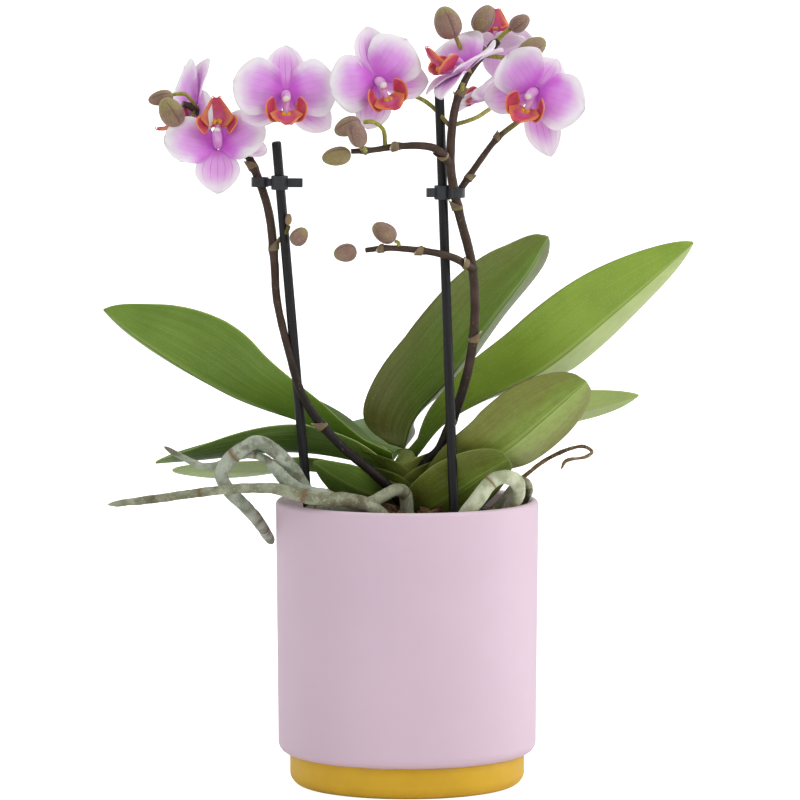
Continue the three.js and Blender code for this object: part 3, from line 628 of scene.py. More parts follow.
stick_plastic, tree, shader = new_finish("drawn_black_plastic", Specular_IOR_Level=0.35)
place = object_place(tree)
stick_tone, stick_mask = tone_patches(tree, place, 60.0, 0.25, colour("0e0d0f"), colour("151416"))
stretched = add_node(
    tree, "ShaderNodeMapping", {"Vector": place, "Scale": (1.0, 1.0, 0.03)}
).outputs["Vector"]
drawn = noise_value(tree, stretched, 1400.0, 2.0)
fill(tree, shader.inputs, {
    "Base Color": mixed(tree, times(tree, drawn, 0.35), stick_tone, colour("1e1c20")),
    "Roughness": plus(tree, times(tree, stick_mask, 0.12), 0.36),
})
bumped(tree, shader, drawn, 0.35, 0.0002)

STICKS = {
    "support_stick_left": ("support_rod_left", (-37.5, -6, 70), (-54, -25, 271)),
    "support_stick_right": ("support_rod_right", (21, -32, 70), (13, -22, 296)),
}
for node_name, (name, bottom, top) in STICKS.items():
    path = smooth_path([bottom, top], 60)
    rod_length = (path[-1] - path[0]).length / MM

    def rod_girth(t, rod_length=rod_length):
        from_end = min(t, 1 - t) * rod_length
        return STICK_RADIUS - (0.45 if from_end < 0.01 else 0)

    axis = (path[-1] - path[0]).normalized()
    path = path[:-1] + [path[-1] - axis * 0.0005, path[-1]]
    rod = stem_piece(name, [{"path": path, "girth": rod_girth}], stick_plastic, sides=28)
    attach(rod, "root")
    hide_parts(node_name)

# ---- Stem clips --------------------------------------------------------------------------------
# Small injection-moulded clips: a split ring snapped on the stick, a wider ring round the
# stalk, and a flat bar to press them open by.
STICK_RING_BORE, STICK_RING_RADIUS = 2.15, 3.5
STALK_RING_BORE, STALK_RING_RADIUS = 2.6, 3.6
EDGE_ROUNDING = 0.25
CLIPS = {
    "stem_clip_left": ("spike_clip_left", (-52.7, -23.6), (-60.9, -19.2), (-43.2, -24.6), 254),
    "stem_clip_right": ("spike_clip_right", (14.6, -24.1), (20.2, -26.8), (8, -26), 250),
}


def hollow_ring(points, faces, centre, inner_radius, outer_radius, low, high, steps=40):
    """Adds a closed ring of four walls round centre, in mm."""
    start = len(points)
    for k in range(steps):
        turn = 2 * math.pi * k / steps
        for radius, level in (
            (inner_radius, low), (outer_radius, low), (outer_radius, high), (inner_radius, high)
        ):
            points.append(
                Vector((centre[0] + radius * math.cos(turn), centre[1] + radius * math.sin(turn), level)) * MM
            )
    for k in range(steps):
        here, after = start + 4 * k, start + 4 * ((k + 1) % steps)
        for side in range(4):
            over = (side + 1) % 4
            faces.append((here + side, after + side, after + over, here + over))


def slab(points, faces, start_at, end_at, half_width, low, high):
    """Adds a straight bar between two plan points, in mm."""
    a, b = Vector(start_at), Vector(end_at)
    across = (b - a).orthogonal().normalized() * half_width
    first = len(points)
    for corner in (a - across, a + across, b + across, b - across):
        points.append(Vector((corner.x, corner.y, low)) * MM)
        points.append(Vector((corner.x, corner.y, high)) * MM)
    loop = [(0, 2, 4, 6), (7, 5, 3, 1), (1, 3, 2, 0), (3, 5, 4, 2), (5, 7, 6, 4), (7, 1, 0, 6)]
    faces += [tuple(first + i for i in face) for face in loop]


clip_plastic, tree, shader = new_finish("moulded_clip_plastic", Specular_IOR_Level=0.5)
place = object_place(tree)
clip_tone, clip_mask = tone_patches(tree, place, 180.0, 0.2, colour("24272a"), colour("303437"))
fill(tree, shader.inputs, {
    "Base Color": clip_tone, "Roughness": plus(tree, times(tree, clip_mask, 0.15), 0.35),
})
bumped(tree, shader, noise_value(tree, place, 900.0), 0.2, 0.0001)
for node_name, (name, on_stick, on_stalk, tail, level) in CLIPS.items():
    points, faces = [], []
    hollow_ring(points, faces, on_stick, STICK_RING_BORE, STICK_RING_RADIUS, level - 2.9, level + 2.9)
    hollow_ring(points, faces, on_stalk, STALK_RING_BORE, STALK_RING_RADIUS, level - 2, level + 2)
    toward = (Vector(on_stick) - Vector(on_stalk)).normalized()
    outer = Vector(on_stalk) + toward * 3.1
    near = Vector(on_stick) - toward * 2.8
    if (near - outer).dot(toward) > 0.2:
        slab(points, faces, outer, near, 0.85, level - 1.6, level + 1.6)
    away = (Vector(tail) - Vector(on_stick)).normalized()
    slab(points, faces, Vector(on_stick) + away * 2.9, Vector(tail), 0.9, level - 1.9, level + 1.9)
    clip = mesh_piece(name, points, faces, smooth=False)
    rounding = clip.modifiers.new("moulded_edges", "BEVEL")
    rounding.width = EDGE_ROUNDING * MM
    rounding.segments = 3
    rounding.limit_method = "ANGLE"
    clip.data.materials.append(clip_plastic)
    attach(clip, "root")
    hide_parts(node_name)

# ---- Leaves ------------------------------------------------------------------------------------
# Thick, leathery strap leaves folded along the midrib. The upper face is dark and even with a
# fine groove over the midrib, the underside is paler, and the margin is thin and light.
LEAF_THICKNESS = 1.6


def ring_faces(rows, sides, capped=True):
    """Faces between each ring of points and the next, and over both ends where capped."""
    faces = []
    for i in range(rows):
        for k in range(sides):
            after = (k + 1) % sides
            faces.append((i * sides + k, i * sides + after, (i + 1) * sides + after, (i + 1) * sides + k))
    if capped:
        faces.append(tuple(range(sides - 1, -1, -1)))
        faces.append(tuple(rows * sides + k for k in range(sides)))
    return faces


def blade(spec, across_steps, along_steps):
    """Points, faces and stored numbers of a closed blade: upper skin, lower skin and a pointed tip."""
    half_width, thickness = spec["half_width"], spec["thickness"]
    swell = math.log(0.5) / math.log(spec.get("widest", 0.55))
    path = smooth_path(spec["points"], along_steps)
    up = Vector(spec.get("up", (0, 0, 1)))
    points = []
    numbers = {"across": [], "along": [], "upper": [], "part": []}
    loop = [(-math.cos(math.pi * k / across_steps), 1) for k in range(across_steps + 1)]
    loop += [(math.cos(math.pi * k / across_steps), -1) for k in range(1, across_steps)]
    shape = spec.get("shape")
    for i, centre in enumerate(path):
        t = i / along_steps
        tangent = (path[min(i + 1, along_steps)] - path[max(i - 1, 0)]).normalized()
        side = tangent.cross(up).normalized()
        side = Matrix.Rotation(math.radians(value_along(spec.get("roll", 0), t)), 3, tangent) @ side
        opened = side.cross(tangent)
        if shape:
            outline = shape(t)
        else:
            outline = max(math.sin(math.pi * min(t, 1) ** swell), 0) ** spec.get("fullness", 0.7)
        width = half_width * max(outline, spec.get("neck", 0.2) * (1 - t) ** 2, 0.02)
        fold = math.radians(value_along(spec.get("fold", 0), t))
        for s, face_side in loop:
            lean = math.sin(fold) * math.copysign(min(1, 2 * abs(s)), s)
            normal = (opened * math.cos(fold) - side * lean).normalized()
            skin = thickness / 2 * max(1 - s * s, 0) ** 0.35
            if "skin" in spec:
                skin *= spec["skin"](s, t, face_side)
            wave = spec["wave"](s, t) if "wave" in spec else 0.0
            points.append(
                centre + (side * s * width * math.cos(fold) + opened * abs(s) ** 1.3 * width * math.sin(fold)
                + normal * (face_side * skin + wave)) * MM
            )
            numbers["across"].append(s)
            numbers["along"].append(t)
            numbers["upper"].append(0.5 if abs(s) > 0.9999 else 0.5 + face_side / 2)
            numbers["part"].append(spec.get("part", 0.0))
    return points, ring_faces(along_steps, len(loop)), numbers


def gathered(name, parts):
    """One piece from several sets of points, faces and numbers."""
    points, faces, numbers = [], [], {}
    for part_points, part_faces, part_numbers in parts:
        start = len(points)
        points += part_points
        faces += [tuple(start + i for i in face) for face in part_faces]
        for label, values in part_numbers.items():
            numbers.setdefault(label, []).extend(values)
    return mesh_piece(name, points, faces, numbers)


def stored(tree, label):
    return add_node(tree, "ShaderNodeAttribute", attribute_name=label).outputs["Fac"]


# Leaf skin: even green over a darker and yellower base, with fine lengthways veins, painted shade in the
# midrib groove with a painted highlight along its edges, a thin margin, pale stomata speckles, a brown flush
# where the sun has been, and a painted sheen that lightens one half of the blade.
skin_group, given, put = add_group(
    "leaf_skin",
    {
        "Upper": "c", "Under": "c", "Base": "c", "Flush": "c", "Flush Amount": "f", "Margin": "c",
        "Speckle": "f", "Streak": "f", "Painted Sheen": "c", "Painted Sheen Amount": "f",
    },
    {"Color": "c", "Roughness": "f", "Height": "f"},
)
t = skin_group
place = object_place(t)
across, along, upper = stored(t, "across"), stored(t, "along"), stored(t, "upper")
width_place = maths(t, "ABSOLUTE", across)
lengthways = add_node(
    t, "ShaderNodeCombineXYZ", {"X": times(t, across, 26.0), "Y": times(t, along, 3.0)}
).outputs[0]
veins = noise_value(t, lengthways, 1.0, 4.0)
cloud = noise_value(t, place, 38.0, 4.0)
fine_cloud = noise_value(t, place, 320.0, 4.0)
face_colour = mixed(t, ramped(t, upper, 0.35, 0.65), given["Under"], given["Upper"])
# Painted sheen: the half of the blade with across below zero is lightened toward the flank colour, standing
# in for light glancing off that half.
painted_sheen_mask = times(t, ramped(t, across, 0.03, -0.05), given["Painted Sheen Amount"])
with_painted_sheen = mixed(t, painted_sheen_mask, face_colour, given["Painted Sheen"])
based = mixed(t, ramped(t, along, 0.32, 0.03), with_painted_sheen, given["Base"])
veined = mixed(
    t, times(t, ramped(t, veins, 0.35, 0.7), given["Streak"]), based,
    mixed(t, 0.6, based, (0.62, 0.78, 0.3, 1))
)
clouded = mixed(
    t, times(t, ramped(t, cloud, 0.62, 0.35), 0.3), veined, mixed(t, 0.55, veined, (0.03, 0.07, 0.01, 1))
)
flush_edge = plus(t, times(t, width_place, 0.45), times(t, cloud, 0.9))
flush_mask = times(t, ramped(t, flush_edge, 0.42, 0.85), given["Flush Amount"])
flushed = mixed(t, flush_mask, clouded, given["Flush"])
fine_flush = mixed(
    t, times(t, times(t, ramped(t, fine_cloud, 0.45, 0.62), given["Flush Amount"]), 0.35), flushed,
    given["Flush"]
)
dots = add_node(t, "ShaderNodeTexVoronoi", {"Vector": place, "Scale": 900.0}).outputs["Distance"]
dot_mask = times(t, ramped(t, dots, 0.3, 0.14), given["Speckle"])
speckled = mixed(t, dot_mask, fine_flush, mixed(t, 0.6, fine_flush, (0.9, 0.95, 0.75, 1)))
# Painted shade: a dark line down the midrib groove, on both faces of the blade.
groove = ramped(t, width_place, 0.035, 0.006)
groove_shaded = mixed(t, times(t, groove, 0.55), speckled, mixed(t, 0.6, speckled, (0.05, 0.11, 0.01, 1)))
# Painted highlight: a lighter band along both edges of the midrib groove.
groove_edge_highlight = times(t, ramped(t, width_place, 0.11, 0.03), ramped(t, width_place, 0.0, 0.04))
groove_edge_highlit = mixed(t, times(t, groove_edge_highlight, 0.25), groove_shaded, (0.55, 0.68, 0.2, 1))
margin_mask = ramped(t, width_place, 0.972, 0.996)
t.links.new(mixed(t, times(t, margin_mask, 0.75), groove_edge_highlit, given["Margin"]), put["Color"])
rough = plus(t, times(t, fine_cloud, 0.12), times(t, veins, 0.12))
t.links.new(plus(t, rough, 0.3), put["Roughness"])
relief = plus(t, times(t, veins, 1.2), times(t, fine_cloud, 0.35))
t.links.new(maths(t, "SUBTRACT", relief, times(t, groove, 1.4)), put["Height"])


# flank and painted_sheen_amount set the painted sheen that lightens one half of the blade.
def leaf_finish(
    name, upper, under, base, flush="6b5236", flush_amount=0.0, margin="b5c46a", speckle=0.1, streak=0.25,
    painted_sheen="c3cf8e", painted_sheen_amount=0.0,
):
    finish, tree, shader = new_finish(
        name, Specular_IOR_Level=0.3, Coat_Weight=0.04, Coat_Roughness=0.35,
        Subsurface_Weight=0.08, Subsurface_Scale=0.002, Subsurface_Radius=(0.4, 1.0, 0.15),
    )
    values = {
        "Upper": colour(upper), "Under": colour(under), "Base": colour(base), "Flush": colour(flush),
        "Flush Amount": flush_amount, "Margin": colour(margin), "Speckle": speckle, "Streak": streak,
        "Painted Sheen": colour(painted_sheen), "Painted Sheen Amount": painted_sheen_amount,
    }
    made = add_node(tree, "ShaderNodeGroup", values, node_tree=skin_group)
    fill(tree, shader.inputs, {"Base Color": made.outputs["Color"], "Roughness": made.outputs["Roughness"]})
    bumped(tree, shader, made.outputs["Height"], 0.2, 0.0004)
    return finish


LEAVES = {
    "leaf_upper_left": {
        "points": [(-6, 4, 136), (-37, 16, 149), (-74, 20, 162), (-112, 12, 186), (-127, 8, 199)],
        "half_width": 27, "widest": 0.62, "neck": 0.25, "roll": [0, 14, 34, 40], "fold": [38, 40, 42, 40],
        "finish": {
            "upper": "3a5a16", "under": "6a8c26", "base": "6a8a24", "streak": 0.16, "margin": "a9bd5c",
            "painted_sheen": "738f30", "painted_sheen_amount": 0.5,
        },
    },
    "leaf_middle_left": {
        "points": [(-6, 2, 131), (-24, 4, 137), (-49, 5, 140), (-87, 0, 137), (-105, -5, 136)],
        "half_width": 22, "widest": 0.5, "neck": 0.3, "roll": [4, 7, 10], "fold": [40, 26, 18],
        "finish": {
            "upper": "5f7d36", "under": "64803c", "base": "6f8c2c", "streak": 0.35, "margin": "b3c274",
        },
    },
    "leaf_lower_left": {
        "points": [(-7, -1, 127), (-24, 0, 130), (-45, -1, 133), (-66, -3, 132), (-98, -7, 133)],
        "half_width": 15, "widest": 0.6, "neck": 0.3,
        "roll": [4, 18, 20], "fold": [30, 6, 0], "fullness": 0.45,
        "finish": {"upper": "86a04c", "under": "8fa858", "base": "7a983a", "streak": 0.4, "margin": "bccb84"},
    },
    "leaf_inner_left": {
        "points": [(-6, -8, 121), (-17, -14, 124.5), (-28, -16, 130), (-39, -17, 137.5)],
        "half_width": 10.5, "widest": 0.5, "neck": 0.4, "roll": 48, "fold": 8,
        "finish": {"upper": "5f7d20", "under": "66852c", "base": "587820", "margin": "9db04c"},
    },
    "leaf_back_left": {
        "points": [(-5, 7, 138), (-14, 22, 142), (-24, 38, 145), (-35, 56, 143), (-44, 72, 139)],
        "half_width": 15, "widest": 0.55, "neck": 0.35, "fold": [30, 18, 10],
        "finish": {"upper": "527428", "under": "7c984a", "base": "6f8c2c", "margin": "a8b860"},
    },
    "leaf_top_back": {
        "points": [(-2, 5, 141), (2, 5, 153), (17, 9, 170), (36, 14, 195), (52, 18, 216), (59, 19, 229)],
        "half_width": 32, "widest": 0.42, "neck": 0.2, "roll": -44, "fold": [40, 24, 22, 18], "fullness": 0.5,
        "finish": {
            "upper": "5c721c", "under": "688630", "base": "505f18", "flush": "6a5c34", "flush_amount": 0.42,
            "margin": "6c5634", "streak": 0.2, "painted_sheen": "6f8040", "painted_sheen_amount": 0.6,
        },
    },
    "leaf_upper_right": {
        "points": [(3, 1, 138), (14, 3, 151), (30, 4, 161), (56, 2, 174), (89, -1, 201), (119, -4, 228)],
        "half_width": 25, "widest": 0.55, "neck": 0.2, "roll": [-28, -41, -41], "fold": [35, 24, 19],
        "finish": {
            "upper": "688a0e", "under": "8aa634", "base": "4c6614",
            "margin": "7a6c34", "speckle": 0.14, "streak": 0.12,
            "painted_sheen": "bccb80", "painted_sheen_amount": 0.8,
        },
    },
    "leaf_lower_right": {
        "points": [(5, -5, 121), (26, -19, 134), (42, -22, 144), (55, -24, 155), (74, -26, 172)],
        "half_width": 21, "widest": 0.62, "neck": 0.3,
        "roll": [-20, -48, -52], "fold": [30, 18, 12], "fullness": 0.45,
        "finish": {
            "upper": "5e7414", "under": "7e9830", "base": "5c7a1c", "flush": "6e5230", "flush_amount": 0.45,
            "margin": "6b5142", "painted_sheen": "a9bc62", "painted_sheen_amount": 0.7,
        },
    },
    "leaf_far_right": {
        "points": [(6, 4, 131), (31, 12, 144), (56, 14, 152), (81, 12, 158), (97, 8, 163)],
        "half_width": 15, "widest": 0.55, "neck": 0.3, "roll": [-10, -35, -35], "fold": [30, 16, 10],
        "finish": {"upper": "9cb458", "under": "a8bc68", "base": "7c983a", "margin": "bccb84"},
    },
    "leaf_front": {
        "points": [(3, -8, 113), (11, -18, 119), (21, -24, 126), (31, -27, 133), (42, -29, 140)],
        "half_width": 15, "widest": 0.5, "neck": 0.55, "roll": [-35, -55, -58], "fold": 12, "fullness": 0.42,
        "finish": {
            "upper": "62780c", "under": "6e841c", "base": "445410", "flush": "544420", "flush_amount": 0.4,
            "margin": "a0a45c",
        },
    },
}


def leaf_skin_depth(s, t, face_side):
    """Thins the tip and sinks a groove over the midrib on the upper face, with a keel below."""
    rib = math.exp(-(s / 0.06) ** 2)
    return (1 - 0.45 * t) * (1 - 0.45 * rib if face_side > 0 else 1 + 0.5 * rib)


for index, (node_name, spec) in enumerate(LEAVES.items()):
    tilt_seed = index * 7.3

    def leaf_wave(s, t, tilt_seed=tilt_seed, half_width=spec["half_width"]):
        """Slow waves that run along the margins and die out at the midrib and the base."""
        sway = noise.noise(Vector((3.2 * t, 1.1 * s, tilt_seed)))
        return 0.055 * half_width * sway * abs(s) ** 1.5 * min(1, 3 * t) * min(1, 5 * (1 - t))

    made_of = {k: v for k, v in spec.items() if k != "finish"}
    leaf_name = node_name.replace("leaf", "strap_leaf")
    leaf = gathered(leaf_name, [
        blade({**made_of, "thickness": LEAF_THICKNESS, "skin": leaf_skin_depth, "wave": leaf_wave}, 30, 90)
    ])
    leaf.data.materials.append(leaf_finish(f"{leaf_name}_skin", **spec["finish"]))
    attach(leaf, "root")
    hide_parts(node_name)

# ---- Crown -------------------------------------------------------------------------------------
# The short, hidden stem from which the leaves grow in two ranks, wrapped in their sheathing
# bases: dark green, ridged lengthways and brown where old sheaths have dried.
crown_skin, tree, shader = new_finish("leaf_base_sheaths", Specular_IOR_Level=0.4)
place = object_place(tree)
ridge_place = add_node(
    tree, "ShaderNodeMapping", {"Vector": place, "Scale": (1.0, 1.0, 0.15)}
).outputs["Vector"]
ridges = noise_value(tree, ridge_place, 700.0, 3.0)
sheath = tone_patches(tree, place, 90.0, 0.2, colour("5c6c22"), colour("8a9440"))[0]
dry = ramped(tree, stored(tree, "along"), 0.45, 0.1)
fill(tree, shader.inputs, {"Base Color": mixed(tree, times(tree, dry, 0.8), sheath, colour("6b5638"))})
shader.inputs["Roughness"].default_value = 0.5
bumped(tree, shader, ridges, 0.6, 0.0006)


def clasping_sheath(centre, axis, outward, length, girth, flare=0.12, wrap=125):
    """A thin pointed sheath that clasps the stalk on one side, in metres."""
    side = axis.cross(outward).normalized()
    outward = side.cross(axis).normalized()
    steps_along, steps_round = 10, 12
    points, faces = [], []
    numbers = {"along": [], "across": []}
    for skin in (0.00018, 0.0):
        for i in range(steps_along + 1):
            t = i / steps_along
            spread = math.radians(wrap) * (1 - t ** 1.4) + 0.02
            radius = girth + 0.0003 + skin + length * flare * t ** 2
            for k in range(steps_round + 1):
                turn = spread * (2 * k / steps_round - 1)
                around = outward * math.cos(turn) + side * math.sin(turn)
                points.append(centre + axis * (t - 0.12) * length + around * radius)
                numbers["along"].append(t)
                numbers["across"].append(2 * k / steps_round - 1)
    row, sheet = steps_round + 1, (steps_along + 1) * (steps_round + 1)
    for i in range(steps_along):
        for k in range(steps_round):
            a = i * row + k
            faces.append((a, a + 1, a + row + 1, a + row))
            faces.append((sheet + a, sheet + a + row, sheet + a + row + 1, sheet + a + 1))
    border = list(range(row))
    border += [i * row + steps_round for i in range(1, steps_along + 1)]
    border += [steps_along * row + k for k in range(steps_round - 1, -1, -1)]
    border += [i * row for i in range(steps_along - 1, 0, -1)]
    for a, b in zip(border, border[1:] + border[:1]):
        faces.append((b, a, sheet + a, sheet + b))
    return points, faces, numbers


def crown_girth(t):
    """Three overlapping sheaths, each slightly proud of the one above."""
    return value_along([5, 5.5, 7.4, 2.3], t) + 0.35 * ((3 * t) % 1) * (1 - t)


crown = stem_piece(
    "crown_sheaths",
    [{"path": smooth_path([(-1, 0, 108), (-1, 0, 125), (0, 0, 141)], 40), "girth": crown_girth}],
    crown_skin, sides=32, lumps=1.0, lump_scale=120.0,
)
SHEATHS = [
    (119, -1, 24, 0.5), (120, 1, 25, 0.55), (124, -1, 22, 0.6), (125.5, 1, 24, 0.5), (130, -1, 19, 0.5),
    (131, 1, 20, 0.45),
]
sheaths = []
for level, side, length, flare in SHEATHS:
    foot = Vector((-0.5, -0.5, level)) * MM
    lean = Vector((side * 0.25, -0.12, 1)).normalized()
    facing = Vector((side, -0.45, 0))
    sheaths.append(clasping_sheath(foot, lean, facing, length * MM, 6.6 * MM, flare, 105))
leaf_bases = gathered("crown_leaf_bases", sheaths)
leaf_bases.data.materials.append(crown_skin)
for piece in (crown, leaf_bases):
    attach(piece, "root")
    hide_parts("crown")

# ---- Aerial roots ------------------------------------------------------------------------------
# Live roots in a spongy, grey-green skin, thick at first and blunt at the tip, with brown scars
# where the skin has rubbed. Older ones have dried to pale, papery threads.
ROOTS = {
    "aerial_root_long": {
        "points": [
            (-2, -35, 106), (-9, -38.5, 116), (-16, -40.5, 122), (-24, -41, 124), (-33, -40, 124.5),
            (-40, -38.5, 125), (-47, -36.5, 126.5), (-54, -34, 128), (-68, -32, 128), (-86, -30, 126),
            (-107, -30, 123), (-124, -30, 121),
        ],
        "radius": [2.4, 3, 3.2, 2.8, 2.3, 2, 1.9, 1.8, 1.2], "finish": "tan",
    },
    "aerial_root_arch": {
        "points": [
            (-30, -12, 106), (-36, -16, 117), (-42, -20, 126),
            (-48, -25, 136), (-56, -28, 144), (-62, -29, 147),
            (-68, -29, 144), (-74, -28, 139), (-77, -26, 133),
            (-74, -21, 126), (-68, -14, 119), (-63, -4, 112),
            (-60, 8, 106), (-57, 20, 99),
        ],
        "radius": [2.6, 2.8, 3, 3, 2.9, 2.7, 2.2], "finish": "green",
    },
    "aerial_root_thin": {
        "points": [
            (-16, -20, 110), (-25, -24, 119), (-33, -27, 124), (-40, -30, 126), (-46, -31, 128),
            (-50, -31, 131), (-54, -29, 135), (-58, -27, 139), (-63, -26, 141), (-70, -25, 140.5),
            (-83, -22, 136), (-92, -20, 139), (-101, -19, 144),
        ],
        "radius": [2.2, 2.8, 3, 2.8, 1.6, 1.5, 1.5, 1.2], "finish": "green",
    },
    "aerial_root_front": {
        "points": [
            (1, -17, 108), (0, -20, 117), (-1, -24, 125),
            (-5, -30, 127), (-11, -34, 124.5), (-18, -34.5, 121),
            (-26, -33, 119.5), (-33, -30, 119), (-39, -24, 118), (-42, -15, 114), (-41, -6, 106),
        ],
        "radius": [3, 2.8, 2.7, 2.8, 2.2], "finish": "tan",
    },
    "aerial_root_hoop": {
        "points": [
            (19, -37, 106), (23.5, -40.5, 117), (30, -42.5, 126), (35, -41.5, 132), (40, -39, 133.5),
            (45, -34, 131), (46, -27, 125), (42.5, -21, 117), (37, -16, 106),
        ],
        "radius": [2.6, 3.3, 3.2, 3.1, 2.5, 2.2], "finish": "pale",
    },
    "aerial_root_right": {
        "points": [
            (30, -12, 106), (38, -17, 119), (44, -19, 127), (49, -15, 129), (51, -6, 124), (48, 4, 117),
            (41, 9, 105),
        ],
        "radius": 1.7, "finish": "tan",
    },
    "aerial_root_dried": {
        "points": [
            (26, 4, 106), (38, 2, 118), (47, -2, 128), (58, -5, 137),
            (68, -8, 142), (74, -10, 143), (77, -12, 141),
            (74, -13, 139), (66, -14, 137.5), (64, -14, 134),
        ],
        "radius": [1.2, 0.9, 0.9, 0.8, 0.7], "finish": "dried",
    },
}


def root_finish(name, light, dark, scar, scar_amount):
    finish, tree, shader = new_finish(name, Specular_IOR_Level=0.25)
    place = object_place(tree)
    velamen = tone_patches(tree, place, 150.0, 0.16, colour(dark), colour(light))[0]
    grain = noise_value(tree, place, 900.0, 4.0)
    flecked = mixed(tree, times(tree, ramped(tree, grain, 0.55, 0.7), 0.4), velamen, colour("d6d8c6"))
    worn = times(tree, ramped(tree, noise_value(tree, place, 105.0, 5.0), 0.54, 0.62), scar_amount)
    scarred = mixed(tree, worn, flecked, colour(scar))
    collar = ramped(tree, stored(tree, "ring"), 0.3, 0.9)
    fill(tree, shader.inputs, {
        "Base Color": mixed(tree, collar, scarred, colour("7a5c3a")),
        "Roughness": plus(tree, times(tree, grain, 0.2), 0.6),
    })
    bumped(tree, shader, maths(tree, "SUBTRACT", grain, worn), 0.55, 0.0005)
    return finish


root_finishes = {
    "green": root_finish("root_velamen_green", "b4bbaa", "848c78", "5c4c34", 0.55),
    "tan": root_finish("root_velamen_tan", "a6aa90", "7a7c62", "56452f", 0.5),
    "pale": root_finish("root_velamen_pale", "ced3b6", "a0a784", "7a6846", 0.35),
    "dried": root_finish("root_velamen_dried", "8f7450", "4c3824", "2a1d14", 0.8),
}
for index, (node_name, spec) in enumerate(ROOTS.items()):
    def root_girth(t, spec=spec, index=index):
        """The listed radius with slow swellings, drawn in to a blunt tip at the far end."""
        swelling = 1 + 0.13 * noise.noise(Vector((9 * t, index * 5.1, 0)))
        blunt = min(1, ((1 - t) / 0.03 + 0.02) ** 0.5) if t > 0.97 else 1
        return value_along(spec["radius"], t) * swelling * blunt * 0.97

    def root_ring(t, index=index):
        return max(
            math.exp(-((t - spot) / 0.012) ** 2)
            for spot in ((0.37 + 0.11 * index) % 1, (0.71 + 0.17 * index) % 1)
        ) * 0.8

    root = stem_piece(
        node_name.replace("aerial_root", "air_root"),
        [{"path": smooth_path(spec["points"], 110), "girth": root_girth, "ring": root_ring}],
        root_finishes[spec["finish"]], sides=22, lumps=0.9, lump_scale=230.0,
    )
    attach(root, "root")
    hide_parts(node_name)

